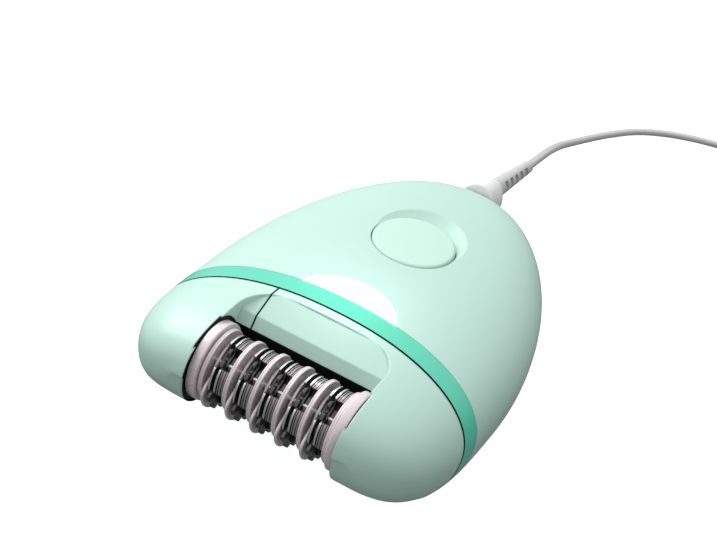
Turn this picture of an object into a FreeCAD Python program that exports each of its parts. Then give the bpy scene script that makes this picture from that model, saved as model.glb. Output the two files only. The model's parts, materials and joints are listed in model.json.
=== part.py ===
"""Corded epilator: a pebble-shaped handle, a pull-off head with a tweezer drum, and its mains lead.

Frame: the handle lies on its back. +X runs across the head along the drum's axis, +Y from the head
to the tail, where the lead leaves, and +Z up, towards the power button. Z = 0 is the flat patch that
it rests on. All lengths are in millimetres.
"""

import FreeCAD, Part
import math
import os

V = FreeCAD.Vector
X_AXIS = V(1, 0, 0)
Y_AXIS = V(0, 1, 0)
Z_AXIS = V(0, 0, 1)

# ---------------------------------------------------------------- driving dimensions
# Outer skin: a pebble made of superellipse sections
HALF_WIDTH = 36.2
TOP_HEIGHT = 13.9          # above the middle surface
BASE_HEIGHT = 16.6         # below the middle surface
WIDEST_Y = -9.6
NOSE_LENGTH = 38.3
TAIL_LENGTH = 60.2
TAIL_END_SHARE = 0.968     # the tail is cut flat before its tip
NOSE_POWER = 3.3
NOSE_WIDTH_POWER = 4.2
TAIL_POWER = 1.95
SECTION_POWER = 2.32
MIDDLE_Z = 15.64
MIDDLE_SLOPE = 0.039
MIDDLE_CURVE = 0.002
WALL = 1.7
SEAM_GAP = 0.2
SLACK = 0.15               # room between an inner piece and the wall beside it

# Trim band between head and handle: a slightly bowed, tilted plane
BAND_Y = -25.38            # at the height of the middle surface
BAND_TILT = math.radians(22.9)
BAND_BOW = 271.0           # radius of the bow
BAND_WIDTH = 4.7

# Handle seam between its top and bottom shells
SHELL_SEAM_Z = 11.5        # at Y = 0
SHELL_SEAM_RISE = 0.17     # per millimetre along Y

# Drum
DRUM_Y = -37.6
DRUM_Z = 18.2
RING_COUNT = 6
RING_PITCH = 5.7
RING_RADIUS = 7.6
RING_TUBE = 0.5            # radius of a guide ring's rounded edge
COLLAR_RADIUS = 8.45
COLLAR_OUTER_X = 17.05
CORE_RADIUS = 2.5
AXLE_RADIUS = 1.5
RUNNING = 0.04             # radial clearance of a running fit
DISC_RADIUS = 7.2
DISC_THICKNESS = 0.45
PIN_CIRCLE = 4.5
PIN_RADIUS = 0.5
PIN_COUNT = 4

# Drum bay in the head
BAY_HALF_WIDTH = 17.4
BAY_RADIUS = 9.35
RECESS_HALF_WIDTH = 16.9
RECESS_CORNER = 7.5
RECESS_BACK_Y = DRUM_Y + 15.0
SIDE_SEAM_X = -13.2        # the left side cover ends here

# Gear train, all axes along X
MODULE = 0.6
DRUM_TEETH = 20
IDLER_TEETH = 24
SMALL_TEETH = 14           # small wheel of the compound gear
LARGE_TEETH = 28           # large wheel of the compound gear
PINION_TEETH = 10
PRESSURE_ANGLE = math.radians(25)
BACKLASH = 0.14
HEAD_GEAR_X = (-22.0, -19.6)
LARGE_WHEEL_X = (-19.3, -17.1)
COMPOUND_Y = DRUM_Y + 24.4
COMPOUND_Z = DRUM_Z - 3.0
MOTOR_Z = DRUM_Z - 4.6

# Motor
MOTOR_RADIUS = 10.0
MOTOR_X = (-11.5, 15.5)
MOTOR_SHAFT_RADIUS = 1.0

# Power button and its thumb scoop
BUTTON_Y = DRUM_Y + 51.6
BUTTON_RADIUS = 9.3
BUTTON_GAP = 0.25
BUTTON_PROUD = 0.35
BUTTON_TRAVEL = 0.8
SCOOP_Y = DRUM_Y + 54.9
SCOOP_RADIUS = 10.9
SCOOP_DEPTH = 2.0

# Light lens
LENS_Y = DRUM_Y + 17.6
LENS_RADIUS = 12.4

# Head travel when it is pulled off
HEAD_TRAVEL = 14.0

# Lead, low-voltage plug and wall adapter
CORD_WIDTH = 2.4
PLUG_Y = 48.72             # front face of the plug's grip, on the tail's flat end
PLUG_Z = 25.8
PLUG_DROP = math.radians(7.0)
PLUG_LENGTH = 10.5
RELIEF_LENGTH = 24.0
SOCKET_Z = 24.7
BARREL_RADIUS = 2.0
BARREL_LENGTH = 9.0
PIN_SPACING = 18.6
MAINS_PIN_RADIUS = 2.0
MAINS_PIN_LENGTH = 19.0


# ---------------------------------------------------------------- small helpers
def box(x, y, z):
    """Box between two corners, each axis given as (low, high)."""
    return Part.makeBox(x[1] - x[0], y[1] - y[0], z[1] - z[0], V(x[0], y[0], z[0]))


def rod(radius, x, y, z):
    """Cylinder along X from x[0] to x[1], on the axis through (y, z)."""
    return Part.makeCylinder(radius, x[1] - x[0], V(x[0], y, z), X_AXIS)


def tube(outer, inner, x, y, z):
    return rod(outer, x, y, z).cut(rod(inner, (x[0] - 1, x[1] + 1), y, z))


def post(radius, x, y, z):
    """Cylinder along Z from z[0] to z[1]."""
    return Part.makeCylinder(radius, z[1] - z[0], V(x, y, z[0]), Z_AXIS)


def fuse(shapes):
    first = shapes[0]
    if len(shapes) > 1:
        first = first.fuse(list(shapes[1:]))
    return first.removeSplitter()


def solids(shape):
    """The shape's solids as one compound, largest slivers dropped."""
    kept = [s for s in shape.Solids if s.Volume > 0.02]
    return kept[0] if len(kept) == 1 else Part.makeCompound(kept)


def polygon_prism(points, direction):
    wire = Part.makePolygon([V(*p) for p in points] + [V(*points[0])])
    return Part.Face(wire).extrude(direction)


NODES = {}


def save(name, shape):
    shape = solids(shape)
    NODES[name] = shape
    shape.exportStep(os.path.join("parts", name + ".step"))


# ---------------------------------------------------------------- outer skin
NOSE_SHARES = (0.997, 0.985, 0.955, 0.90, 0.82, 0.70, 0.54, 0.34, 0.14)
TAIL_SHARES = (0.0, 0.15, 0.33, 0.50, 0.65, 0.78, 0.87, 0.93, TAIL_END_SHARE)
SECTION_POINTS = 28


def section_size(y, inset):
    """Half width, height above and below the middle surface, and its height, of the skin at y."""
    along = y - WIDEST_Y
    if along < 0:
        reach, power, width_power = NOSE_LENGTH - inset, NOSE_POWER, NOSE_WIDTH_POWER
    else:
        reach, power, width_power = TAIL_LENGTH - inset, TAIL_POWER, TAIL_POWER
    place = min(abs(along) / reach, 0.99999)
    share = (1 - place ** power) ** (1 / power)
    width_share = (1 - place ** width_power) ** (1 / width_power)
    middle = MIDDLE_Z + MIDDLE_SLOPE * along + MIDDLE_CURVE * along ** 2
    return (HALF_WIDTH - inset) * width_share, (TOP_HEIGHT - inset) * share, (BASE_HEIGHT - inset) * share, middle


def section_wire(y, inset):
    half, up, down, middle = section_size(y, inset)
    points = []
    for i in range(SECTION_POINTS):
        turn = 2 * math.pi * i / SECTION_POINTS
        c, s = math.cos(turn), math.sin(turn)
        x = half * math.copysign(abs(c) ** (2 / SECTION_POWER), c)
        z = math.copysign(abs(s) ** (2 / SECTION_POWER), s) * (up if s > 0 else down)
        points.append(V(x, y, middle + z))
    curve = Part.BSplineCurve()
    curve.interpolate(Points=points, PeriodicFlag=True)
    return Part.Wire([curve.toShape()])


# Belly towards the nose: it rises in a straight slope, then follows the drum; (Y, Z) from the drum's axis
UNDERSIDE = [(13.7, -18.8), (0.5, -9.6), (-1.5, -9.45), (-3.2, -9.05), (-4.6, -8.4), (-6.0, -7.5), (-7.4, -6.1),
             (-8.5, -4.4), (-9.2, -2.5), (-9.6, 0.4), (-60, 0.4), (-60, -40), (13.7, -40)]


def underside(inset):
    """Everything below the belly's slope, moved into the handle by inset."""
    points = [V(-60, DRUM_Y + y + inset * 0.57, DRUM_Z + z + inset * 0.82) for y, z in UNDERSIDE]
    return Part.Face(Part.makePolygon(points + points[:1])).extrude(V(120, 0, 0))


def skin(inset):
    """Solid inside the skin moved inwards by inset, flat underneath."""
    stations = [WIDEST_Y - (NOSE_LENGTH - inset) * s for s in NOSE_SHARES]
    stations += [WIDEST_Y + (TAIL_LENGTH - inset) * s for s in TAIL_SHARES]
    pebble = Part.makeLoft([section_wire(y, inset) for y in stations], True, False)
    return pebble.cut(box((-60, 60), (-80, 80), (-40, inset))).cut(underside(inset))


def top_z(x, y):
    """Height of the skin's top above the point (x, y)."""
    half, up, down, middle = section_size(y, 0)
    return middle + up * (1 - min(abs(x) / half, 1) ** SECTION_POWER) ** (1 / SECTION_POWER)


BAND_UP = V(0, math.sin(BAND_TILT), math.cos(BAND_TILT))
BAND_NORMAL = V(0, math.cos(BAND_TILT), -math.sin(BAND_TILT))
BAND_POINT = V(0, BAND_Y, MIDDLE_Z)


def head_side(offset):
    """Everything on the head's side of the band's edge, moved towards the tail by offset."""
    centre = BAND_POINT - BAND_NORMAL * BAND_BOW - BAND_UP * 100
    return Part.makeCylinder(BAND_BOW + offset, 200, centre, BAND_UP)


def below_shell_seam(gap):
    """Everything under the seam between the handle's top and bottom shells."""
    low, high = -60.0, 60.0
    points = [(-60, low, SHELL_SEAM_Z + SHELL_SEAM_RISE * low - gap),
              (-60, high, SHELL_SEAM_Z + SHELL_SEAM_RISE * high - gap),
              (-60, high, -40), (-60, low, -40)]
    return polygon_prism(points, V(120, 0, 0))


OUTER = skin(0)
INNER = skin(WALL)
ROOM = skin(WALL + SLACK)  # where inner pieces may be


# ---------------------------------------------------------------- gears
def gear(teeth, x, y, z, phase, bore):
    """Spur gear along X with involute flanks; one tooth points phase radians from +Y towards +Z."""
    pitch_r = MODULE * teeth / 2
    base_r = pitch_r * math.cos(PRESSURE_ANGLE)
    tip_r = pitch_r + 0.8 * MODULE
    root_r = pitch_r - 1.1 * MODULE
    half_at_pitch = math.pi / (2 * teeth) - BACKLASH / 2 / pitch_r

    def involute(r):
        a = math.acos(min(1.0, base_r / r))
        return math.tan(a) - a

    flank = []
    start = max(base_r, root_r)
    for i in range(4):
        r = start + (tip_r - start) * i / 3
        flank.append((r, half_at_pitch + involute(pitch_r) - involute(r)))
    outline = []
    for t in range(teeth):
        middle = phase + 2 * math.pi * t / teeth
        side = [(root_r, flank[0][1])] + flank
        for r, half in side:
            outline.append((r, middle - half))
        for r, half in reversed(side):
            outline.append((r, middle + half))
    points = [(x[0], y + r * math.cos(a), z + r * math.sin(a)) for r, a in outline]
    blank = polygon_prism(points, V(x[1] - x[0], 0, 0))
    return blank.cut(rod(bore, (x[0] - 1, x[1] + 1), y, z))


def meshed_phase(phase, teeth, other_teeth, direction):
    """Phase of a gear that meshes with a gear of the given phase, seen from it in the given direction."""
    steps = (direction - phase) * teeth / (2 * math.pi)
    return direction + math.pi + (steps - 0.5) * 2 * math.pi / other_teeth


def centre_distance(a, b):
    return MODULE * (a + b) / 2


def third_corner(ay, az, ra, by, bz, rb):
    """Point at ra from a and rb from b, on the upper side of the line from a to b."""
    gap = math.hypot(by - ay, bz - az)
    along = (ra ** 2 - rb ** 2 + gap ** 2) / (2 * gap)
    up = math.sqrt(max(ra ** 2 - along ** 2, 0))
    uy, uz = (by - ay) / gap, (bz - az) / gap
    return ay + along * uy - up * uz, az + along * uz + up * uy


IDLER_Y, IDLER_Z = third_corner(DRUM_Y, DRUM_Z, centre_distance(DRUM_TEETH, IDLER_TEETH),
                                COMPOUND_Y, COMPOUND_Z, centre_distance(IDLER_TEETH, SMALL_TEETH))
MOTOR_Y = COMPOUND_Y + math.sqrt(centre_distance(LARGE_TEETH, PINION_TEETH) ** 2
                                 - (MOTOR_Z - COMPOUND_Z) ** 2)

DRUM_PHASE = 0.0
IDLER_PHASE = meshed_phase(DRUM_PHASE, DRUM_TEETH, IDLER_TEETH,
                           math.atan2(IDLER_Z - DRUM_Z, IDLER_Y - DRUM_Y))
SMALL_PHASE = meshed_phase(IDLER_PHASE, IDLER_TEETH, SMALL_TEETH,
                           math.atan2(COMPOUND_Z - IDLER_Z, COMPOUND_Y - IDLER_Y))
LARGE_PHASE = 0.0
PINION_PHASE = meshed_phase(LARGE_PHASE, LARGE_TEETH, PINION_TEETH,
                            math.atan2(MOTOR_Z - COMPOUND_Z, MOTOR_Y - COMPOUND_Y))


# ---------------------------------------------------------------- handle shells, band, lens
def lens_prism(grow):
    return post(LENS_RADIUS + grow, 0, LENS_Y, (DRUM_Z + 2, 60))


def scoop_ball():
    radius = (SCOOP_RADIUS ** 2 + SCOOP_DEPTH ** 2) / (2 * SCOOP_DEPTH)
    rim = top_z(0, SCOOP_Y)
    return Part.makeSphere(radius, V(0, SCOOP_Y, rim - SCOOP_DEPTH + radius))


def plug_axis_point(along):
    return V(0, PLUG_Y + along * math.cos(PLUG_DROP), PLUG_Z - along * math.sin(PLUG_DROP))


PLUG_AXIS = V(0, math.cos(PLUG_DROP), -math.sin(PLUG_DROP))


def socket_rod(radius, start, length):
    """Cylinder along Y on the socket's axis; start is measured from the tail's flat end."""
    return Part.makeCylinder(radius, length, V(0, PLUG_Y + start, SOCKET_Z), Y_AXIS)


def handle_shells():
    wall = OUTER.cut(INNER).cut(head_side(BAND_WIDTH + 0.06))
    socket_mouth = socket_rod(BARREL_RADIUS + 0.3, -16, 20)
    top = wall.cut(below_shell_seam(0)).cut(lens_prism(0.1))
    scoop_floor = post(SCOOP_RADIUS + 1.5, 0, SCOOP_Y, (DRUM_Z + 6.5, 60)).common(SHELL_ROOM)
    scoop_floor = scoop_floor.cut(head_side(BAND_WIDTH))
    top = top.fuse(scoop_floor).cut(scoop_ball())
    top = top.cut(post(BUTTON_RADIUS + BUTTON_GAP, 0, BUTTON_Y, (0, 60)))
    top = top.cut(socket_mouth)
    bottom = wall.common(below_shell_seam(SEAM_GAP / 2)).cut(socket_mouth)
    bottom = bottom.cut(release_opening())
    bosses = []
    for x, y in SCREW_PLACES:
        bosses.append(post(3.0, x, y, (0, screw_joint(x, y))))
    bottom = bottom.fuse(Part.makeCompound(bosses).common(OUTER))
    for x, y in SCREW_PLACES:
        bottom = bottom.cut(post(1.2, x, y, (-1, 20))).cut(post(2.1, x, y, (-1, screw_seat(x, y))))
    uppers = []
    for x, y in SCREW_PLACES:
        uppers.append(post(3.0, x, y, (screw_joint(x, y) + 0.1, 40)).common(SHELL_ROOM))
    top = top.fuse(uppers)
    for x, y in SCREW_PLACES:
        top = top.cut(post(0.85, x, y, (screw_joint(x, y) - 1, screw_joint(x, y) + 6)))
    return top, bottom


SCREW_PLACES = ((-28.0, 6.0), (28.0, 6.0), (0.0, 30.4))
SHELL_ROOM = skin(0.6)


def screw_seat(x, y):
    """Height of the step that a shell screw's head sits on."""
    half, up, down, middle = section_size(y, 0)
    share = (1 - (abs(x) / half) ** SECTION_POWER) ** (1 / SECTION_POWER)
    return max(middle - down * share, 0) + 3.2


def screw_joint(x, y):
    """Height where a lower boss meets its upper pillar."""
    return screw_seat(x, y) + 3.4


def shell_screws():
    """Three screws that pull the handle's shells together, from below."""
    made = []
    for x, y in SCREW_PLACES:
        seat = screw_seat(x, y)
        screw = post(2.0, x, y, (seat - 1.5, seat - 0.02)).fuse(post(0.8, x, y, (seat - 0.1, seat + 8.5)))
        made.append(screw.cut(box((x - 1.2, x + 1.2), (y - 0.2, y + 0.2), (seat - 2, seat - 1.0))))
    return Part.makeCompound(made)


def release_opening():
    return box((-7.2, 7.2), (RELEASE_Y[0] - 0.2, RELEASE_Y[1] + 0.2), (-1, WALL + 3))


RELEASE_Y = (-24.5, -18.5)
RELEASE_BASE_Z = 0.6
RELEASE_TRAVEL = 1.0


def trim_band():
    ring = OUTER.cut(INNER).common(head_side(BAND_WIDTH)).cut(head_side(0))
    notch_y = BAND_Y + math.tan(BAND_TILT) * (top_z(0, BAND_Y + 6) - MIDDLE_Z)
    notch = polygon_prism([(-3.3, notch_y - 1.5, 20), (-1.3, notch_y - 1.5, 20), (-2.0, notch_y + 1.3, 20)],
                          V(0, 0, 30))
    return ring.cut(notch).cut(lens_prism(0.1).cut(head_side(BAND_WIDTH - 0.6)))


def light_lens():
    bowl = skin(-0.25).cut(skin(2.1))
    return bowl.common(lens_prism(0)).cut(head_side(BAND_WIDTH + 0.05))


# ---------------------------------------------------------------- head covers and frame
# Side view of the open space in front of the head, from the drum's axis as (Y, Z)
BAY_PROFILE = [(-60, -40), (5.8, -40), (5.8, -13.0), (6.2, -7.0), (7.9, -5.0), (7.9, 5.0), (9.3, 7.6), (20.5, 13.8),
               (-60, 60)]




def bay(grow):
    """The drum's bay and the sloping recess around it, all walls moved outwards by grow."""
    deep = rod(BAY_RADIUS + grow, (-BAY_HALF_WIDTH - grow, BAY_HALF_WIDTH + grow), DRUM_Y, DRUM_Z)
    side = BAY_HALF_WIDTH + grow
    points = [(-side, DRUM_Y + y + (grow if y > 0 else 0), DRUM_Z + z) for y, z in BAY_PROFILE]
    slopes = polygon_prism(points, V(2 * side, 0, 0))
    half = RECESS_HALF_WIDTH + grow
    back = RECESS_BACK_Y + grow
    corner_x = half - RECESS_CORNER
    corner_y = back - RECESS_CORNER
    plan = fuse([box((-half, half), (-120, corner_y), (-40, 80)),
                 box((-corner_x, corner_x), (-100, back), (-40, 80)),
                 post(RECESS_CORNER, corner_x, corner_y, (-40, 80)),
                 post(RECESS_CORNER, -corner_x, corner_y, (-40, 80))])
    return deep.fuse(slopes.common(plan))


def head_covers():
    hood = OUTER.common(head_side(-0.25)).cut(bay(0))
    hollow = INNER.cut(bay(1.5))
    hood = hood.cut(hollow)
    axle_hole = rod(3.4, (-30, 30), DRUM_Y, DRUM_Z)
    hood = hood.cut(axle_hole.common(box((-19.2, 19.2), (-80, 0), (0, 60))))
    hood = hood.cut(rod(MODULE * (DRUM_TEETH / 2 + 1) + 0.25, (-22.4, -19.2), DRUM_Y, DRUM_Z))
    side = hood.common(box((-60, SIDE_SEAM_X - SEAM_GAP / 2), (-80, 20), (-10, 60)))
    main = hood.common(box((SIDE_SEAM_X + SEAM_GAP / 2, 60), (-80, 20), (-10, 60)))
    return main, side


def arm(x, boss_radius, z_low, z_high, y_back):
    """Flat arm from a round boss on the drum's axis back to y_back."""
    points = [(x[0], DRUM_Y, DRUM_Z - boss_radius), (x[0], DRUM_Y, DRUM_Z + boss_radius),
              (x[0], y_back, z_high), (x[0], y_back, z_low)]
    return fuse([rod(boss_radius, x, DRUM_Y, DRUM_Z), polygon_prism(points, V(x[1] - x[0], 0, 0))])


def head_frame():
    back = (DRUM_Y + 11.3, DRUM_Y + 12.9)
    low = DRUM_Z - 11.2
    left_out = arm((-24.0, -22.6), 2.4, low, DRUM_Z + 2.5, DRUM_Y + 17.5)
    right = arm((19.3, 20.8), 3.2, low, DRUM_Z + 3.0, back[1])
    left_in = box((-19.2, -17.9), (back[0], DRUM_Y + 14.9), (low, DRUM_Z + 2.5))
    web = box((-24.0, -17.9), (DRUM_Y + 8.1, DRUM_Y + 17.5), (low, low + 1.2))
    bridge = box((-19.2, 20.8), back, (low, DRUM_Z - 1.0))
    tongue = box((-4.0, 4.0), (back[0], RELEASE_Y[1] + 1.5), (low - 1.2, low))
    tongue_root = box((-4.0, 4.0), back, (low - 1.2, low + 0.5))
    frame = fuse([left_out, right, left_in, web, bridge, tongue_root, tongue])
    frame = frame.cut(box((-2.2, 2.2), (RELEASE_Y[0] + 2.2, RELEASE_Y[0] + 5.0), (low - 2, low + 1)))
    frame = frame.cut(rod(AXLE_RADIUS, (-30, 30), DRUM_Y, DRUM_Z))
    frame = frame.cut(rod(1.0, (-30, 30), IDLER_Y, IDLER_Z))
    return frame.common(ROOM)


# ---------------------------------------------------------------- drum
RING_X = [RING_PITCH * (i - (RING_COUNT - 1) / 2) for i in range(RING_COUNT)]


def drum_pins(grow):
    pins = []
    for k in range(PIN_COUNT):
        turn = math.pi / 4 + 2 * math.pi * k / PIN_COUNT
        y = DRUM_Y + PIN_CIRCLE * math.cos(turn)
        z = DRUM_Z + PIN_CIRCLE * math.sin(turn)
        pins.append(rod(PIN_RADIUS + grow, (-15.6, 15.6), y, z))
    return pins


def drilled(plate):
    """The plate with the core's bore and the four pin holes."""
    plate = plate.cut(rod(CORE_RADIUS + 0.02, (-20, 20), DRUM_Y, DRUM_Z))
    return plate.cut(drum_pins(0.04))


def guide_ring(x):
    edge = Part.makeTorus(RING_RADIUS - RING_TUBE, RING_TUBE, V(x, DRUM_Y, DRUM_Z), X_AXIS)
    web = rod(RING_RADIUS - RING_TUBE, (x - 0.3, x + 0.3), DRUM_Y, DRUM_Z)
    return drilled(edge.fuse(web))


LOBE_TURN = -10.0          # degrees from straight up to the first lobe


def lobed_disc(x, thickness, lobes, tip_radius, valley_radius, lobe_width, phase):
    """Thin plate with round-cornered lobes that reach tip_radius."""
    span = (x - thickness / 2, x + thickness / 2)
    hub = rod(valley_radius, span, DRUM_Y, DRUM_Z)
    arms = []
    for k in range(lobes):
        lobe = box(span, (DRUM_Y - lobe_width / 2, DRUM_Y + lobe_width / 2), (DRUM_Z, DRUM_Z + tip_radius))
        lobe.rotate(V(0, DRUM_Y, DRUM_Z), X_AXIS, phase + 360.0 * k / lobes)
        arms.append(lobe)
    star = hub.fuse(arms).common(rod(tip_radius, (x - 2, x + 2), DRUM_Y, DRUM_Z))
    return drilled(star)


def tweezer_discs(offset):
    return [lobed_disc(x + offset, DISC_THICKNESS, 4, DISC_RADIUS, 5.4, 5.6, LOBE_TURN) for x in RING_X[:-1]]


def tilted_plate(x):
    """Slanted plate beside a ring; one side of it stands out past the ring's rim."""
    plate = rod(8.9, (x - 0.3, x + 0.3), DRUM_Y, DRUM_Z)
    lobe = box((x - 1, x + 1), (DRUM_Y - 6.8, DRUM_Y + 6.8), (DRUM_Z + 1.5, DRUM_Z + 10))
    lobe.rotate(V(0, DRUM_Y, DRUM_Z), X_AXIS, 148.0)
    plate = plate.common(fuse([lobe, rod(5.3, (x - 1, x + 1), DRUM_Y, DRUM_Z)]))
    plate = plate.cut(rod(CORE_RADIUS + 0.35, (x - 2, x + 2), DRUM_Y, DRUM_Z))
    plate = plate.cut(drum_pins(0.25))
    plate.rotate(V(x, DRUM_Y, DRUM_Z), Z_AXIS, 2.5)
    return plate


def scalloped_spacer(x):
    """Dark hub between two tweezer discs: scallops round its edge, and three long knobs on the plate's side."""
    hub = rod(6.3, (x - 0.38, x + 0.38), DRUM_Y, DRUM_Z)
    knobs, bites = [], []
    for k in range(12):
        turn = math.radians(80.0) + 2 * math.pi * (k + 0.5) / 12
        bites.append(rod(1.1, (x - 1, x + 1), DRUM_Y + 6.6 * math.cos(turn), DRUM_Z + 6.6 * math.sin(turn)))
    for k in (4, 5, 6):
        knob = box((x - 0.38, x + 0.38), (DRUM_Y - 1.0, DRUM_Y + 1.0), (DRUM_Z + 3, DRUM_Z + 7.4))
        knob = knob.fuse(rod(1.0, (x - 0.38, x + 0.38), DRUM_Y, DRUM_Z + 7.4))
        knob.rotate(V(0, DRUM_Y, DRUM_Z), X_AXIS, LOBE_TURN + 30.0 * k)
        knobs.append(knob)
    return drilled(hub.cut(bites).fuse(knobs))


def grooved_segment(x):
    """Cylinder pads beside each ring, with fine grooves round them."""
    span = (x - 0.7, x + 0.7)
    pads = rod(7.0, span, DRUM_Y, DRUM_Z)
    keep = []
    for k in range(4):
        wedge = box((x - 1, x + 1), (DRUM_Y - 2.7, DRUM_Y + 2.7), (DRUM_Z + 2, DRUM_Z + 9))
        wedge.rotate(V(0, DRUM_Y, DRUM_Z), X_AXIS, LOBE_TURN + 90.0 * k)
        keep.append(wedge)
    hub = rod(4.9, span, DRUM_Y, DRUM_Z)
    pads = pads.common(fuse(keep + [hub]))
    for groove in (-0.3, 0.3):
        cutter = tube(7.5, 6.75, (x + groove - 0.08, x + groove + 0.08), DRUM_Y, DRUM_Z)
        pads = pads.cut(cutter)
    return drilled(pads)


def end_collar(side):
    inner = RING_X[-1] + RING_TUBE + 0.05
    span = (inner, COLLAR_OUTER_X) if side > 0 else (-COLLAR_OUTER_X, -inner)
    rim = rod(COLLAR_RADIUS, span, DRUM_Y, DRUM_Z)
    edges = [e for e in rim.Edges if isinstance(e.Curve, Part.Circle)]
    rim = rim.makeFillet(0.3, edges)
    rim = rim.cut(rod(CORE_RADIUS + 0.02, (-20, 20), DRUM_Y, DRUM_Z))
    pin_end = 15.6
    room = drum_pins(0.04)
    return rim.cut([p.common(box((-pin_end, pin_end), (-80, 20), (0, 60))) for p in room])


# ---------------------------------------------------------------- lead
def frustum(radius_a, radius_b, along, length):
    """Cone on the plug's axis; along is measured from the grip's front face."""
    return Part.makeCone(radius_a, radius_b, length, plug_axis_point(along), PLUG_AXIS)


def appliance_plug():
    """Grip of the low-voltage plug: a short drum that swells, then a cone down to the bend relief."""
    grip = fuse([frustum(4.2, 4.8, 0.0, 5.0), frustum(4.8, 2.6, 5.0, PLUG_LENGTH - 5.0)])
    grip = grip.cut(box((-9, 9), (PLUG_Y - 5, PLUG_Y), (0, 60)))
    return grip.cut(socket_rod(BARREL_RADIUS - 0.4, -1, 3.0))


def plug_barrel():
    barrel = socket_rod(BARREL_RADIUS - RUNNING, -BARREL_LENGTH, BARREL_LENGTH)
    barrel = barrel.fuse(socket_rod(BARREL_RADIUS - 0.4, -0.2, 2.2))
    return barrel.cut(socket_rod(0.85, -BARREL_LENGTH - 1, BARREL_LENGTH))


def power_socket():
    """Moulded jack behind the tail wall: a sleeve that the plug's barrel slides into."""
    block = box((-4.0, 4.0), (PLUG_Y - 12.0, PLUG_Y - 2.6), (SOCKET_Z - 5.5, SOCKET_Z + 3.4)).common(ROOM)
    return block.cut(socket_rod(BARREL_RADIUS, -10.5, 12)).cut(socket_rod(0.8, -13, 3))


def socket_pin():
    """Centre contact of the jack, and its solder tail."""
    tail = box((-0.4, 0.4), (PLUG_Y - 13.2, PLUG_Y - 12.05), (SOCKET_Z - 5.0, SOCKET_Z + 0.4))
    return socket_rod(0.8, -12.6, 10.6).fuse(tail)


def strain_relief():
    """Ribbed sleeve with five slots in each side."""
    body = frustum(2.5, 1.6, PLUG_LENGTH, RELIEF_LENGTH)
    slots = []
    for k in range(5):
        at = PLUG_LENGTH + 3.2 + 3.6 * k
        for side in (-1, 1):
            slot = Part.makeBox(5, 1.6, 2.4, V(1.5 - 0.13 * k, -0.8, -1.2))
            if side < 0:
                slot = slot.mirror(V(0, 0, 0), X_AXIS)
            slot.rotate(V(0, 0, 0), X_AXIS, -math.degrees(PLUG_DROP))
            slot.translate(plug_axis_point(at))
            slots.append(slot)
    return body.cut(slots)


CORD_EXIT = plug_axis_point(PLUG_LENGTH + RELIEF_LENGTH + 0.15)
CORD_RADIUS = CORD_WIDTH / 2

# Route of the lead from the bend relief to its coil, laid by hand
CORD_ROUTE = [
    CORD_EXIT,
    V(-0.7, 95.0, 19.7),
    V(-2.1, 109.0, 15.8),
    V(-3.3, 122.5, 11.2),
    V(-3.5, 136.0, 6.8),
    V(-2.8, 149.0, 3.5),
    V(-0.4, 160.5, 1.6),
    V(4.0, 169.5, 1.25),
    V(10.5, 176.0, 1.25),
    V(18.5, 181.0, 1.25),
    V(27.5, 184.6, 1.25),
    V(37.0, 186.6, 1.25),
    V(46.5, 187.2, 1.25),
    V(56.0, 186.8, 1.25),
]

# Coil of the stored length: turns lie side by side in layers
COIL_CENTRE = V(58.0, 166.0, 0)
COIL_MEAN_RADIUS = 14.4
COIL_HALF_WIDTH = 5.0
COIL_HEIGHT = 9.9

# Stretch from the coil's top layer to the wall adapter
ADAPTER_ROUTE = [
    V(78.9, 166.0, 8.7),
    V(79.7, 157.5, 9.3),
    V(80.0, 149.0, 10.6),
    V(80.0, 140.15, 11.0),
]
ADAPTER_X = (66.0, 94.0)
ADAPTER_Y = (88.0, 126.0)
ADAPTER_Z = (0.05, 26.0)
ADAPTER_SEAM_Y = 112.0
ADAPTER_CORNER = 4.0
ADAPTER_EXIT_Z = 11.0
ADAPTER_RELIEF_END_Y = 140.0
MAINS_PIN_Z = 13.0


def cord_tube(points, radius):
    """Straight runs joined by tangent arcs, swept with a round section."""
    edges = []
    radii = []
    start = points[0]
    for before, here, after in zip(points, points[1:], points[2:]):
        back = before - here
        on = after - here
        turn = math.pi - back.getAngle(on)
        bend = 0.45 * min(back.Length, on.Length) / math.tan(turn / 2)
        trim = bend * math.tan(turn / 2)
        back.normalize()
        on.normalize()
        entry = here + back * trim
        leave = here + on * trim
        inward = (entry + leave) * 0.5 - here
        inward.normalize()
        crown = here + inward * (bend / math.cos(turn / 2) - bend)
        edges.append(Part.LineSegment(start, entry).toShape())
        edges.append(Part.Arc(entry, crown, leave).toShape())
        radii.append(bend)
        start = leave
    edges.append(Part.LineSegment(start, points[-1]).toShape())
    path = Part.Wire(edges)
    first = points[1] - points[0]
    section = Part.Wire([Part.makeCircle(radius, points[0], first)])
    swept = path.makePipeShell([section], True, False)
    print("lead: length %.1f, section x length %.1f, volume %.1f, bend radii %s" % (
        path.Length, path.Length * math.pi * radius ** 2, swept.Volume, [round(r) for r in radii]))
    return swept


def cord_coil():
    """Outer shape of the coil, less the room that the lead's two ends take."""
    ring = post(COIL_MEAN_RADIUS + COIL_HALF_WIDTH, COIL_CENTRE.x, COIL_CENTRE.y, (0.05, COIL_HEIGHT))
    return ring.cut(post(COIL_MEAN_RADIUS - COIL_HALF_WIDTH, COIL_CENTRE.x, COIL_CENTRE.y, (-1, 20)))


def cord_tie():
    """Soft strap round the coil's bundle."""
    x = COIL_CENTRE.x - COIL_MEAN_RADIUS + 0.25
    wide = COIL_HALF_WIDTH + 0.3
    outer = box((x - wide - 0.7, x + wide + 0.7), (COIL_CENTRE.y - 3, COIL_CENTRE.y + 3), (0.0, COIL_HEIGHT + 0.8))
    outer = outer.makeFillet(0.6, [e for e in outer.Edges if abs(e.tangentAt(e.FirstParameter).y) > 0.9])
    hole = box((x - wide, x + wide), (COIL_CENTRE.y - 4, COIL_CENTRE.y + 4), (0.02, COIL_HEIGHT + 0.05))
    return outer.cut(hole)


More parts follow.
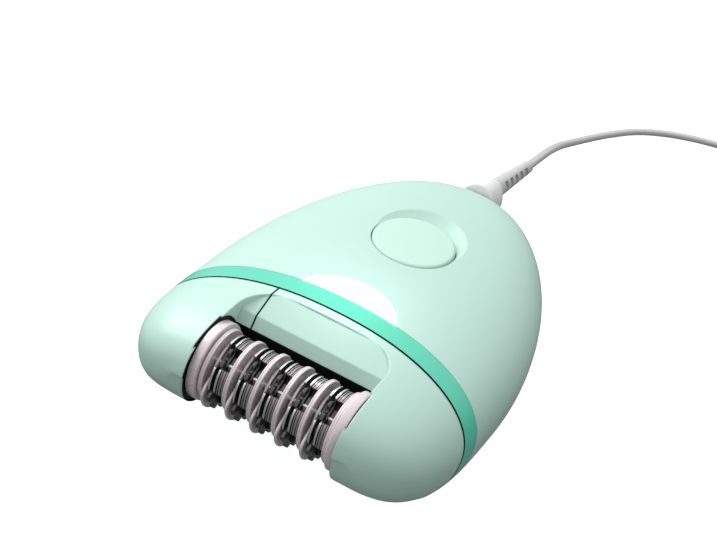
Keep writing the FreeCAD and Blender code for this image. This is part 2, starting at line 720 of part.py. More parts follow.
def adapter_blank():
    block = box(ADAPTER_X, ADAPTER_Y, ADAPTER_Z)
    along = [e for e in block.Edges if abs(e.tangentAt(e.FirstParameter).y) > 0.9]
    block = block.makeFillet(ADAPTER_CORNER, along)
    far = [e for e in block.Edges if abs(e.CenterOfMass.y - ADAPTER_Y[1]) < 0.01]
    return block.makeFillet(1.5, far)


def adapter_middle():
    return (ADAPTER_X[0] + ADAPTER_X[1]) / 2


def adapter_half(front):
    """One half of the wall adapter's hollow case; front holds the mains pins."""
    case = adapter_blank()
    wall = 2.0
    hollow = box((ADAPTER_X[0] + wall, ADAPTER_X[1] - wall), (ADAPTER_Y[0] + wall, ADAPTER_Y[1] - wall),
                 (ADAPTER_Z[0] + wall, ADAPTER_Z[1] - wall))
    case = case.cut(hollow)
    if front:
        half = case.common(box((0, 200), (0, ADAPTER_SEAM_Y), (-1, 60)))
        for side in (-1, 1):
            x = adapter_middle() + side * PIN_SPACING / 2
            hole = Part.makeCylinder(MAINS_PIN_RADIUS + 0.52, 4, V(x, ADAPTER_Y[0] - 1, MAINS_PIN_Z), Y_AXIS)
            half = half.cut(hole)
        return half
    half = case.common(box((0, 200), (ADAPTER_SEAM_Y + 0.2, 200), (-1, 60)))
    x = adapter_middle()
    return half.cut(Part.makeCylinder(2.6, 6, V(x, ADAPTER_Y[1] - 4, ADAPTER_EXIT_Z), Y_AXIS))


def mains_pins():
    """Two round pins with rounded tips, each on a wider stem that fills its hole in the case."""
    made = []
    for side in (-1, 1):
        x = adapter_middle() + side * PIN_SPACING / 2
        tip_y = ADAPTER_Y[0] - MAINS_PIN_LENGTH
        pin = Part.makeCylinder(MAINS_PIN_RADIUS, MAINS_PIN_LENGTH + 1, V(x, tip_y, MAINS_PIN_Z), Y_AXIS)
        tip = [e for e in pin.Edges if abs(e.CenterOfMass.y - tip_y) < 0.01]
        pin = pin.makeFillet(1.2, tip)
        stem = Part.makeCylinder(MAINS_PIN_RADIUS + 0.5, 5.0, V(x, ADAPTER_Y[0], MAINS_PIN_Z), Y_AXIS)
        made.append(pin.fuse(stem))
    return Part.makeCompound(made)


def adapter_board():
    """Circuit board in the adapter, with its transformer and capacitor."""
    x = adapter_middle()
    board = box((x - 11, x + 11), (ADAPTER_Y[0] + 5, ADAPTER_Y[1] - 4), (4.0, 5.2))
    coil = box((x - 6, x + 6), (ADAPTER_Y[0] + 8, ADAPTER_Y[0] + 20), (5.2, 16.0))
    can = post(4.0, x, ADAPTER_Y[1] - 9, (5.2, 9.5))
    return board.fuse([coil, can])


def adapter_relief():
    """Tapered sleeve where the lead enters the adapter."""
    start = V(adapter_middle(), ADAPTER_Y[1] - 2.0, ADAPTER_EXIT_Z)
    sleeve = Part.makeCone(2.6, 1.6, ADAPTER_RELIEF_END_Y - start.y, start, Y_AXIS)
    grooves = [box((0, 200), (start.y + 4.5 + 2.6 * k, start.y + 5.5 + 2.6 * k), (-1, 60)).cut(
        Part.makeCylinder(1.45, 40, start, Y_AXIS)) for k in range(4)]
    return sleeve.cut(grooves)


# ---------------------------------------------------------------- things inside the handle
def bracket_plate(x, z_high):
    """Bracket cheek that carries the compound gear's axle."""
    low = MOTOR_Z - 9.0
    return box(x, (COMPOUND_Y - 3.5, MOTOR_Y + 7.0), (low, z_high))


def motor_bracket():
    """U-shaped bracket: one cheek on the motor's face, one outside the gears, a web below them."""
    inner_cheek = bracket_plate((-13.2, MOTOR_X[0] - 0.05), MOTOR_Z + 9.0)
    outer_cheek = bracket_plate((-24.2, -23.0), COMPOUND_Z + 4.0)
    web = box((-24.2, MOTOR_X[0] - 0.05), (COMPOUND_Y - 3.5, MOTOR_Y + 7.0), (MOTOR_Z - 10.8, MOTOR_Z - 9.6))
    feet = [box((-13.2, -11.55), (COMPOUND_Y - 3.5, MOTOR_Y + 7.0), (MOTOR_Z - 10.8, MOTOR_Z - 8.5)),
            box((-24.2, -23.0), (COMPOUND_Y - 3.5, MOTOR_Y + 7.0), (MOTOR_Z - 10.8, MOTOR_Z - 8.5))]
    bracket = fuse([inner_cheek, outer_cheek, web] + feet)
    bracket = bracket.cut(rod(2.6, (-14, -11), MOTOR_Y, MOTOR_Z))
    bracket = bracket.cut(rod(1.0, (-30, 0), COMPOUND_Y, COMPOUND_Z))
    bracket = bracket.cut(rod(4.5, (-25, -22.5), MOTOR_Y, MOTOR_Z))
    return bracket.common(ROOM)


def motor_can():
    can = rod(MOTOR_RADIUS, MOTOR_X, MOTOR_Y, MOTOR_Z)
    can = can.cut(rod(MOTOR_RADIUS - 0.8, (MOTOR_X[0] + 0.8, MOTOR_X[1] + 1), MOTOR_Y, MOTOR_Z))
    nose = rod(2.5, (MOTOR_X[0] - 1.2, MOTOR_X[0] + 0.1), MOTOR_Y, MOTOR_Z)
    return can.fuse(nose).cut(rod(MOTOR_SHAFT_RADIUS + RUNNING, (-20, 0), MOTOR_Y, MOTOR_Z))


def motor_end_cap():
    cap = rod(MOTOR_RADIUS - 0.82, (MOTOR_X[1] - 2.0, MOTOR_X[1]), MOTOR_Y, MOTOR_Z)
    boss = rod(3.0, (MOTOR_X[1], MOTOR_X[1] + 1.5), MOTOR_Y, MOTOR_Z)
    cap = cap.fuse(boss).cut(rod(MOTOR_SHAFT_RADIUS + RUNNING, (5, MOTOR_X[1] + 0.9), MOTOR_Y, MOTOR_Z))
    lugs = [box((MOTOR_X[1], MOTOR_X[1] + 2.2), (MOTOR_Y - 1, MOTOR_Y + 1), (MOTOR_Z + s * 6 - 0.3, MOTOR_Z + s * 6 + 0.3))
            for s in (-1, 1)]
    return cap.fuse(lugs)


def motor_magnets():
    ring = tube(MOTOR_RADIUS - 0.85, 7.5, (-8.5, 11.0), MOTOR_Y, MOTOR_Z)
    made = []
    for side in (-1, 1):
        low, high = sorted((side * 3.2, side * 12.0))
        made.append(ring.common(box((-20, 20), (MOTOR_Y - 12, MOTOR_Y + 12), (MOTOR_Z + low, MOTOR_Z + high))))
    return Part.makeCompound(made)


def motor_armature():
    """Three-pole armature with its commutator."""
    core = rod(7.0, (-7.0, 9.0), MOTOR_Y, MOTOR_Z)
    slots = []
    for k in range(3):
        slot = box((-8, 10), (MOTOR_Y - 0.8, MOTOR_Y + 0.8), (MOTOR_Z + 3.0, MOTOR_Z + 8.0))
        slot.rotate(V(0, MOTOR_Y, MOTOR_Z), X_AXIS, 120.0 * k)
        slots.append(slot)
    core = core.cut(slots).fuse(rod(2.4, (8.5, 12.5), MOTOR_Y, MOTOR_Z))
    return core.cut(rod(MOTOR_SHAFT_RADIUS, (-20, 20), MOTOR_Y, MOTOR_Z))


def motor_shaft():
    return rod(MOTOR_SHAFT_RADIUS, (LARGE_WHEEL_X[0] - 0.3, MOTOR_X[1] + 0.5), MOTOR_Y, MOTOR_Z)


def motor_pinion():
    return gear(PINION_TEETH, LARGE_WHEEL_X, MOTOR_Y, MOTOR_Z, PINION_PHASE, MOTOR_SHAFT_RADIUS)


def compound_gear():
    bore = MOTOR_SHAFT_RADIUS + RUNNING
    small = gear(SMALL_TEETH, HEAD_GEAR_X, COMPOUND_Y, COMPOUND_Z, SMALL_PHASE, bore)
    large = gear(LARGE_TEETH, LARGE_WHEEL_X, COMPOUND_Y, COMPOUND_Z, LARGE_PHASE, bore)
    hub = tube(2.6, bore, (-22.9, -13.3), COMPOUND_Y, COMPOUND_Z)
    return fuse([small, large, hub])


def compound_axle():
    return rod(MOTOR_SHAFT_RADIUS, (-24.2, MOTOR_X[0] - 0.1), COMPOUND_Y, COMPOUND_Z)


def idler_gear():
    wheel = gear(IDLER_TEETH, HEAD_GEAR_X, IDLER_Y, IDLER_Z, IDLER_PHASE, 1.0 + RUNNING)
    hub = tube(2.6, 1.0 + RUNNING, (-22.5, -19.3), IDLER_Y, IDLER_Z)
    return fuse([wheel, hub])


def idler_axle():
    return rod(1.0, (-24.0, -17.9), IDLER_Y, IDLER_Z)


BOARD_Z = (DRUM_Z + 3.4, DRUM_Z + 4.6)
BOARD_Y = (DRUM_Y + 46.0, 27.0)


def control_board():
    return box((-12, 12), BOARD_Y, BOARD_Z)


def board_parts():
    """Capacitor, choke and small packages soldered to the control board's underside."""
    low = BOARD_Z[0]
    parts = [Part.makeCylinder(2.5, 8.0, V(-8.5, 12.5, low - 2.55), Y_AXIS),
             post(3.0, 7.0, 16.0, (low - 4.0, low - 0.02)),
             box((-2.5, 2.5), (12, 17), (low - 1.2, low - 0.02)),
             box((-1.5, 1.5), (20, 22), (low - 1.0, low - 0.02)),
             box((4.0, 10.0), (22, 26), (low - 2.2, low - 0.02))]
    return Part.makeCompound(parts)


SWITCH_TOP = BOARD_Z[1] + 2.6
PLUNGER_RADIUS = 1.4


def switch_body():
    case = box((-3.1, 3.1), (BUTTON_Y - 3.1, BUTTON_Y + 3.1), (BOARD_Z[1], SWITCH_TOP))
    return case.cut(post(PLUNGER_RADIUS + 0.06, 0, BUTTON_Y, (SWITCH_TOP - 1.7, SWITCH_TOP + 1)))


def switch_plunger():
    return post(PLUNGER_RADIUS, 0, BUTTON_Y, (SWITCH_TOP - 0.8, SWITCH_TOP + 1.0))


BUTTON_SKIN = 1.7


def power_button():
    cap = skin(-BUTTON_PROUD).cut(skin(BUTTON_SKIN)).common(post(BUTTON_RADIUS, 0, BUTTON_Y, (DRUM_Z, 60)))
    crown = top_z(0, BUTTON_Y) - BUTTON_SKIN + 0.2
    skirt = post(BUTTON_RADIUS, 0, BUTTON_Y, (crown - 1.6, crown)).cut(
        post(BUTTON_RADIUS - 1.2, 0, BUTTON_Y, (0, 60)))
    stem = post(1.5, 0, BUTTON_Y, (SWITCH_TOP + 1.02, crown))
    return fuse([cap, skirt, stem])


def spring(radius, wire, x, y, z, turns):
    """Helical spring of round wire that stands on z[0] and reaches z[1]."""
    low, high = z[0] + wire, z[1] - wire
    steps = 12 * turns
    points = []
    for i in range(steps + 1):
        turn = 2 * math.pi * i / 12
        points.append(V(x + radius * math.cos(turn), y + radius * math.sin(turn), low + (high - low) * i / steps))
    curve = Part.BSplineCurve()
    curve.interpolate(Points=points)
    start = curve.tangent(curve.FirstParameter)[0]
    section = Part.Wire([Part.makeCircle(wire, points[0], start)])
    return Part.Wire([curve.toShape()]).makePipeShell([section], True, True)


def button_spring():
    return spring(2.4, 0.2, 0, BUTTON_Y, (SWITCH_TOP + 0.02, top_z(0, BUTTON_Y) - BUTTON_SKIN - 0.05), 3)


LIGHT_Y = DRUM_Y + 26.3
LIGHT_BOARD_Z = (DRUM_Z + 6.3, DRUM_Z + 7.1)


def light_board():
    return box((-7, 7), (LIGHT_Y - 3.0, LIGHT_Y + 4.5), LIGHT_BOARD_Z).common(ROOM)


def light_led():
    base = box((-1.6, 1.6), (LIGHT_Y - 1.6, LIGHT_Y + 1.6), (LIGHT_BOARD_Z[1], LIGHT_BOARD_Z[1] + 0.6))
    dome = Part.makeSphere(1.1, V(0, LIGHT_Y, LIGHT_BOARD_Z[1] + 0.3))
    return base.fuse(dome.common(box((-2, 2), (LIGHT_Y - 2, LIGHT_Y + 2), (LIGHT_BOARD_Z[1], 60))))


def release_button():
    """Thumb plate under the handle, with two posts and a bridge whose tooth stands over the head's tongue."""
    middle = (RELEASE_Y[0] + RELEASE_Y[1]) / 2
    plate = box((-6.9, 6.9), RELEASE_Y, (RELEASE_BASE_Z, RELEASE_BASE_Z + 1.4))
    ribs = [box((-5.5, 5.5), (middle + d - 0.3, middle + d + 0.3), (RELEASE_BASE_Z - 0.3, RELEASE_BASE_Z + 0.1))
            for d in (-1.6, 0.0, 1.6)]
    posts = [box((s * 5.6 - 0.8, s * 5.6 + 0.8), (RELEASE_Y[0] + 0.4, RELEASE_Y[0] + 4.6),
                 (RELEASE_BASE_Z + 1.3, TONGUE_Z[1] + 2.0)) for s in (-1, 1)]
    bridge = box((-6.4, 6.4), (RELEASE_Y[0] + 0.4, RELEASE_Y[0] + 4.6), (TONGUE_Z[1] + 1.0, TONGUE_Z[1] + 2.0))
    tooth = box((-1.8, 1.8), (RELEASE_Y[0] + 2.5, RELEASE_Y[0] + 4.0), (TONGUE_Z[1] + 0.25, TONGUE_Z[1] + 1.1))
    return fuse([plate] + ribs + posts + [bridge, tooth])


TONGUE_Z = (DRUM_Z - 12.4, DRUM_Z - 11.2)


def build():
    os.makedirs("parts", exist_ok=True)
    top, bottom = handle_shells()
    save("handle_top_shell", top)
    save("handle_bottom_shell", bottom)
    save("trim_band", trim_band())
    save("light_lens", light_lens())
    save("shell_screws", shell_screws())
    save("power_button", power_button())
    save("button_spring", button_spring())
    save("switch_body", switch_body())
    save("switch_plunger", switch_plunger())
    save("control_board", control_board())
    save("board_parts", board_parts())
    save("light_board", light_board())
    save("light_led", light_led())
    save("power_socket", power_socket())
    save("socket_pin", socket_pin())
    save("release_button", release_button())
    save("motor_bracket", motor_bracket())
    save("motor_can", motor_can())
    save("motor_end_cap", motor_end_cap())
    save("motor_magnets", motor_magnets())
    save("motor_armature", motor_armature())
    save("motor_shaft", motor_shaft())
    save("motor_pinion", motor_pinion())
    save("compound_gear", compound_gear())
    save("compound_axle", compound_axle())

    main, side = head_covers()
    save("head_main_cover", main)
    save("head_side_cover", side)
    save("head_frame", head_frame())
    save("idler_gear", idler_gear())
    save("idler_axle", idler_axle())
    save("drum_axle", rod(AXLE_RADIUS, (-24.0, 20.8), DRUM_Y, DRUM_Z))

    save("drum_core", tube(CORE_RADIUS, CORE_RADIUS - 0.5, CORE_X, DRUM_Y, DRUM_Z))
    save("drum_bushes", Part.makeCompound([tube(CORE_RADIUS - 0.5, AXLE_RADIUS + RUNNING, x, DRUM_Y, DRUM_Z)
                                           for x in ((CORE_X[0], CORE_X[0] + 4), (CORE_X[1] - 4, CORE_X[1]))]))
    save("drum_gear", gear(DRUM_TEETH, HEAD_GEAR_X, DRUM_Y, DRUM_Z, DRUM_PHASE, CORE_RADIUS))
    save("end_collars", Part.makeCompound([end_collar(-1), end_collar(1)]))
    save("guide_rings", Part.makeCompound([guide_ring(x) for x in RING_X]))
    save("tweezer_discs_left", Part.makeCompound(tweezer_discs(2.0)))
    save("tweezer_discs_right", Part.makeCompound(tweezer_discs(3.24)))
    save("tilted_plates", Part.makeCompound([tilted_plate(x + 1.0) for x in RING_X[:-1]]))
    save("hub_spacers", Part.makeCompound([scalloped_spacer(x + 2.62) for x in RING_X[:-1]]))
    save("grooved_segments", Part.makeCompound([grooved_segment(x + 4.25) for x in RING_X[:-1]]))
    save("drum_pins", Part.makeCompound(drum_pins(0)))

    save("appliance_plug", appliance_plug())
    save("plug_barrel", plug_barrel())
    save("strain_relief", strain_relief())
    save("power_cord", cord_tube(CORD_ROUTE, CORD_RADIUS))
    save("adapter_cord", cord_tube(ADAPTER_ROUTE, CORD_RADIUS))
    save("cord_coil", cord_coil())
    save("cord_tie", cord_tie())
    save("adapter_relief", adapter_relief())
    save("adapter_front_case", adapter_half(True))
    save("adapter_rear_case", adapter_half(False))
    save("adapter_board", adapter_board())
    save("mains_pins", mains_pins())


CORE_X = (-22.4, 19.0)
build()
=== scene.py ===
"""Corded epilator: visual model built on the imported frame."""
import json
import math

import bmesh
import bpy
from mathutils import Matrix, Vector


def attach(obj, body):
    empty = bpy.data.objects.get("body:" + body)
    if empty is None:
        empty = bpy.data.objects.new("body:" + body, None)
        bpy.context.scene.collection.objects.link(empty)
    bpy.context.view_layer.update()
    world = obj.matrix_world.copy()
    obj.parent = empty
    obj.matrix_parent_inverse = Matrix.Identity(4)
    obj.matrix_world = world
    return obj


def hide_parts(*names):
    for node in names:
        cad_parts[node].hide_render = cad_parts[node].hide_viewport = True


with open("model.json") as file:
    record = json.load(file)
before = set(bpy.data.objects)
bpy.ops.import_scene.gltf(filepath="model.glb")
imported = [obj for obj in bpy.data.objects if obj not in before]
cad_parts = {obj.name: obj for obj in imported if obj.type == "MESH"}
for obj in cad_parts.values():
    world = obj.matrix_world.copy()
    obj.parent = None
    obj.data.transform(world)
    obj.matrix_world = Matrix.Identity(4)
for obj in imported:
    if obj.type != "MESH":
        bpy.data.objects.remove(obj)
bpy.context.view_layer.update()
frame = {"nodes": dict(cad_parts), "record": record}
NODES = frame["nodes"]
MM = 0.001

# Skin of the handle and head, in millimetres
HALF_WIDTH = 36.2
TOP_HEIGHT = 13.9
BASE_HEIGHT = 16.6
WIDEST_Y = -9.6
NOSE_LENGTH = 38.3
TAIL_LENGTH = 60.2
TAIL_END_SHARE = 0.968
NOSE_POWER = 3.3
NOSE_WIDTH_POWER = 4.2
TAIL_POWER = 1.95
SECTION_POWER = 2.32
MIDDLE_Z = 15.64
MIDDLE_SLOPE = 0.039
MIDDLE_CURVE = 0.002
WALL = 1.7

# Band between the head and the handle
BAND_Y = -25.38
BAND_TILT = math.radians(22.9)
BAND_BOW = 271.0
BAND_WIDTH = 4.7
BAND_NORMAL = Vector((0, math.cos(BAND_TILT), -math.sin(BAND_TILT)))
SHELL_SEAM_Z = 11.5
SHELL_SEAM_RISE = 0.17
SHELL_SEAM_GAP = 0.1
HEAD_GAP = 0.5             # between the head and the band

# Drum and the bay it turns in
DRUM_Y = -37.6
DRUM_Z = 18.2
RING_PITCH = 5.7
RING_X = [RING_PITCH * (i - 2.5) for i in range(6)]
RING_RADIUS = 7.6
COLLAR_RADIUS = 8.45
COLLAR_OUTER_X = 17.05
COLLAR_INNER_X = 14.95
CORE_RADIUS = 2.5
DISC_RADIUS = 7.2
DISC_THICKNESS = 0.45
DISC_OFFSETS = (("left", 2.0), ("right", 3.24))    # along X from a ring
HUB_OFFSET = 2.62
HUB_THICKNESS = 0.76
PLATE_OFFSET = 1.0
PLATE_THICKNESS = 0.6
PLATE_TILT = math.radians(2.5)
PAD_OFFSET = 4.25
PAD_FACE_RADIUS = 6.6      # the grooved face of a pad lies outside this
LOBE_START = math.radians(80)
BAY_HALF_WIDTH = 17.4
BAY_RADIUS = 9.35
RECESS_HALF_WIDTH = 16.9
RECESS_CORNER = 7.5
RECESS_BACK_Y = DRUM_Y + 15.0
SIDE_SEAM_X = -13.2
SIDE_SEAM_HALF_GAP = 0.17
BAY_WALL = 1.497
AXLE_HOLE_RADIUS = 3.4
AXLE_HOLE_REACH = 19.2

# Slopes round the bay, and the underside of the nose: (Y, Z) measured from the drum's axis
BAY_PROFILE = [(-60, -40), (5.8, -40), (5.8, -13.0), (6.2, -7.0), (7.9, -5.0), (7.9, 5.0), (9.3, 7.6), (20.5, 13.8),
               (-60, 60)]
UNDERSIDE = [(-60, 0.4), (-9.6, 0.4), (-9.2, -2.5), (-8.5, -4.4), (-7.4, -6.1), (-6.0, -7.5), (-4.6, -8.4),
             (-3.2, -9.05), (-1.5, -9.45), (0.5, -9.6), (13.7, -18.8), (120, -93)]
BELLY_BLEND = 3.5          # height over which the belly's edge is rounded

# Button, light and plug
BUTTON_Y = DRUM_Y + 51.6
BUTTON_RADIUS = 9.3
BUTTON_GAP = 0.25
BUTTON_PROUD = 0.35
SCOOP_Y = DRUM_Y + 54.9
SCOOP_RADIUS = 10.9
SCOOP_DEPTH = 2.6
SCOOP_MARGIN = 1.5         # extra floor round the scoop, under the shell
SCOOP_FLOOR_INSET = 0.6
LENS_Y = DRUM_Y + 17.6
LENS_RADIUS = 12.4
LENS_GAP = 0.1
LENS_PROUD = 0.25
LENS_DEPTH = 2.1
PLUG_Y = 48.72
PLUG_Z = 25.8
PLUG_DROP = math.radians(7.0)
PLUG_LENGTH = 10.5
RELIEF_LENGTH = 24.0

# Openings in the underside and the tail
RELEASE_Y = (-24.5, -18.5)
RELEASE_GAP = 0.2
RELEASE_HALF_WIDTH = 7.2
SCREW_PLACES = ((-28.0, 6.0), (28.0, 6.0), (0.0, 30.4))
SCREW_HOLE_RADIUS = 2.1
SOCKET_HOLE_RADIUS = 2.3
SOCKET_HOLE_Y = 31.0
SOCKET_Z = 24.7


# ---------------------------------------------------------------- materials
def new_material(name):
    material = bpy.data.materials.new(name)
    material.use_nodes = True
    tree = material.node_tree
    return material, tree, tree.nodes["Principled BSDF"]


def add(tree, kind, **values):
    node = tree.nodes.new(kind)
    for key, value in values.items():
        setattr(node, key, value)
    return node


def noise(tree, scale, detail=3.0, roughness=0.5):
    place = add(tree, "ShaderNodeTexCoord")
    texture = add(tree, "ShaderNodeTexNoise")
    texture.inputs["Scale"].default_value = scale
    texture.inputs["Detail"].default_value = detail
    texture.inputs["Roughness"].default_value = roughness
    tree.links.new(place.outputs["Object"], texture.inputs["Vector"])
    return texture.outputs["Fac"]


def ramp(tree, source, stops):
    node = add(tree, "ShaderNodeValToRGB")
    elements = node.color_ramp.elements
    while len(elements) < len(stops):
        elements.new(0.5)
    for element, (position, colour) in zip(elements, stops):
        element.position = position
        element.color = (*colour, 1.0)
    tree.links.new(source, node.inputs["Fac"])
    return node.outputs["Color"]


def spread(tree, source, low, high):
    node = add(tree, "ShaderNodeMapRange")
    node.inputs["To Min"].default_value = low
    node.inputs["To Max"].default_value = high
    tree.links.new(source, node.inputs["Value"])
    return node.outputs["Result"]


def tinted(colour, factor):
    return tuple(min(1.0, c * factor) for c in colour)


def surface(name, colour, rough, metallic=0.0, variation=0.03, grain=1400.0, bump=0.03, edge=0.0, coat=0.0,
            soft=0.0, anisotropic=0.0, emission=0.0, specular=0.5):
    """Moulded plastic, rubber or metal: colour and gloss drift a little, with a fine grain in the surface."""
    material, tree, shader = new_material(name)
    drift = noise(tree, 60.0, 4.0)
    tree.links.new(ramp(tree, drift, [(0.3, tinted(colour, 1 - variation)), (0.7, tinted(colour, 1 + variation))]),
                   shader.inputs["Base Color"])
    fine = noise(tree, grain, 2.0, 0.6)
    tree.links.new(spread(tree, fine, max(rough - 0.05, 0.02), rough + 0.05), shader.inputs["Roughness"])
    dent = add(tree, "ShaderNodeBump")
    dent.inputs["Strength"].default_value = bump
    dent.inputs["Distance"].default_value = 0.0001
    tree.links.new(fine, dent.inputs["Height"])
    if edge:
        rounded = add(tree, "ShaderNodeBevel", samples=6)
        rounded.inputs["Radius"].default_value = edge * MM
        tree.links.new(rounded.outputs["Normal"], dent.inputs["Normal"])
    tree.links.new(dent.outputs["Normal"], shader.inputs["Normal"])
    shader.inputs["Metallic"].default_value = metallic
    shader.inputs["Specular IOR Level"].default_value = specular
    shader.inputs["Coat Weight"].default_value = coat
    shader.inputs["Coat Roughness"].default_value = 0.15
    shader.inputs["Anisotropic"].default_value = anisotropic
    if soft:
        shader.inputs["Subsurface Weight"].default_value = soft
        shader.inputs["Subsurface Radius"].default_value = (0.6, 0.9, 0.8)
        shader.inputs["Subsurface Scale"].default_value = 0.0015
    if emission:
        shader.inputs["Emission Color"].default_value = (*colour, 1.0)
        shader.inputs["Emission Strength"].default_value = emission
    return material


MATERIALS = {
    "shell_mint": surface("shell_mint", (0.50, 0.73, 0.645), 0.38, edge=0.35, bump=0.05, variation=0.012, soft=0.15),
    "head_mint": surface("head_mint", (0.50, 0.73, 0.645), 0.33, edge=0.5, bump=0.04, variation=0.012, soft=0.15),
    "band_green": surface("band_green", (0.085, 0.62, 0.44), 0.25, edge=0.3, coat=0.5, variation=0.03, soft=0.2),
    "lens_clear": surface("lens_clear", (0.93, 0.94, 1.0), 0.25, edge=0.3, coat=0.3, variation=0.01, soft=0.4,
                          emission=1.0),
    "button_mint": surface("button_mint", (0.54, 0.79, 0.69), 0.36, edge=0.2, bump=0.05, variation=0.012, soft=0.15),
    "latch_mint": surface("latch_mint", (0.48, 0.70, 0.62), 0.45, edge=0.25, bump=0.08),
    "screw_steel": surface("screw_steel", (0.55, 0.55, 0.57), 0.35, metallic=1.0, edge=0.1),
    "spring_steel": surface("spring_steel", (0.58, 0.58, 0.60), 0.3, metallic=1.0),
    "board_green": surface("board_green", (0.02, 0.12, 0.05), 0.4, edge=0.1, variation=0.12, coat=0.3),
    "part_black": surface("part_black", (0.02, 0.02, 0.022), 0.5, edge=0.1, variation=0.15),
    "led_white": surface("led_white", (0.9, 0.86, 0.6), 0.2, soft=0.3),
    "contact_metal": surface("contact_metal", (0.72, 0.58, 0.30), 0.28, metallic=1.0, edge=0.1, variation=0.06),
    "motor_steel": surface("motor_steel", (0.52, 0.53, 0.55), 0.34, metallic=1.0, edge=0.2, variation=0.05),
    "bracket_steel": surface("bracket_steel", (0.6, 0.61, 0.62), 0.4, metallic=1.0, edge=0.15, variation=0.06),
    "magnet_black": surface("magnet_black", (0.03, 0.03, 0.035), 0.7, edge=0.1, variation=0.2, bump=0.3),
    "armature_copper": surface("armature_copper", (0.55, 0.22, 0.08), 0.3, metallic=0.8, variation=0.2, bump=0.5),
    "gear_white": surface("gear_white", (0.78, 0.78, 0.72), 0.4, edge=0.1, soft=0.2, variation=0.02),
    "frame_grey": surface("frame_grey", (0.06, 0.066, 0.066), 0.5, edge=0.2, variation=0.06, bump=0.1),
    "shaft_steel": surface("shaft_steel", (0.62, 0.62, 0.64), 0.22, metallic=1.0, anisotropic=0.4),
    "ring_pink": surface("ring_pink", (0.80, 0.71, 0.735), 0.28, metallic=0.15, edge=0.1, variation=0.03),
    "disc_steel": surface("disc_steel", (0.85, 0.84, 0.85), 0.2, metallic=1.0, edge=0.08, variation=0.05),
    # the hubs' dark colour, also used as painted shade on the sides of the discs and pads inside the drum
    "dark_hub_and_painted_shade": surface("dark_hub_and_painted_shade", (0.10, 0.095, 0.10), 0.28, metallic=0.9, edge=0.1, variation=0.2),
    # painted shade: near-black colour for the end walls of the drum's bay
    "bay_side_painted_shade": surface("bay_side_painted_shade", (0.02, 0.035, 0.03), 0.6, specular=0.2),
    "pad_metal": surface("pad_metal", (0.40, 0.36, 0.37), 0.3, metallic=0.7, variation=0.05),
    # painted shade: near-black colour for the deep walls of the drum's bay, where shade falls
    "bay_painted_shade": surface("bay_painted_shade", (0.008, 0.012, 0.011), 0.6, specular=0.15),
    # painted shade: dark colour for the walls inside the seams between parts
    "seam_gap_painted_shade": surface("seam_gap_painted_shade", (0.01, 0.03, 0.025), 0.7, specular=0.1),
    "plug_white": surface("plug_white", (0.86, 0.85, 0.855), 0.35, edge=0.3, variation=0.015, soft=0.1),
    "relief_grey": surface("relief_grey", (0.60, 0.60, 0.60), 0.5, edge=0.15, variation=0.03, bump=0.1),
    "cord_grey": surface("cord_grey", (0.56, 0.56, 0.57), 0.42, variation=0.03, bump=0.08),
    "tie_black": surface("tie_black", (0.02, 0.02, 0.02), 0.6, edge=0.3, variation=0.1, bump=0.2),
    "adapter_white": surface("adapter_white", (0.72, 0.73, 0.73), 0.45, edge=0.4, variation=0.02, grain=2500.0,
                             bump=0.3),
    "pin_nickel": surface("pin_nickel", (0.68, 0.66, 0.62), 0.2, metallic=1.0, edge=0.1),
}
for entry in frame["record"]["subparts"]:
    node = NODES[entry["node"]]
    node.data.materials.clear()
    node.data.materials.append(MATERIALS[entry["material_slot"]])


# ---------------------------------------------------------------- mesh helpers
def link(obj):
    bpy.context.scene.collection.objects.link(obj)


def make(name, points, faces, smooth=35.0):
    """Object from points in millimetres; edges sharper than smooth degrees stay crisp."""
    mesh = bpy.data.meshes.new(name)
    mesh.from_pydata([tuple(c * MM for c in p) for p in points], [], faces)
    mesh.validate()
    work = bmesh.new()
    work.from_mesh(mesh)
    bmesh.ops.recalc_face_normals(work, faces=work.faces)
    if work.calc_volume(signed=True) < 0:
        bmesh.ops.reverse_faces(work, faces=work.faces)
    work.to_mesh(mesh)
    work.free()
    obj = bpy.data.objects.new(name, mesh)
    link(obj)
    shade(obj, smooth)
    return obj


def shade(obj, degrees):
    mesh = obj.data
    for polygon in mesh.polygons:
        polygon.use_smooth = True
    work = bmesh.new()
    work.from_mesh(mesh)
    limit = math.radians(degrees)
    for edge in work.edges:
        edge.smooth = len(edge.link_faces) == 2 and edge.calc_face_angle(0.0) < limit
    work.to_mesh(mesh)
    work.free()


def apply_modifiers(obj):
    bpy.context.view_layer.update()
    graph = bpy.context.evaluated_depsgraph_get()
    mesh = bpy.data.meshes.new_from_object(obj.evaluated_get(graph))
    obj.modifiers.clear()
    old = obj.data
    obj.data = mesh
    bpy.data.meshes.remove(old)


def combine(obj, other, operation, keep=False):
    """Boolean of two solids; the second is used up unless it is kept."""
    modifier = obj.modifiers.new("combine", "BOOLEAN")
    modifier.operation = operation
    modifier.solver = "EXACT"
    modifier.use_hole_tolerant = True
    modifier.object = other
    apply_modifiers(obj)
    if not keep:
        bpy.data.objects.remove(other, do_unlink=True)
    return obj


def copy_of(obj, name):
    twin = obj.copy()
    twin.data = obj.data.copy()
    twin.name = name
    link(twin)
    return twin


def discard(*objects):
    for obj in objects:
        bpy.data.objects.remove(obj, do_unlink=True)


def bevelled(obj, width, segments=2, degrees=40.0):
    modifier = obj.modifiers.new("edges", "BEVEL")
    modifier.width = width * MM
    modifier.segments = segments
    modifier.limit_method = "ANGLE"
    modifier.angle_limit = math.radians(degrees)
    modifier.harden_normals = True
    return obj


def placed(obj, body, slot, nodes=(), material=None):
    obj.data.materials.clear()
    obj.data.materials.append(MATERIALS[material or slot])
    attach(obj, body)
    if nodes:
        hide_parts(*nodes)
    return obj


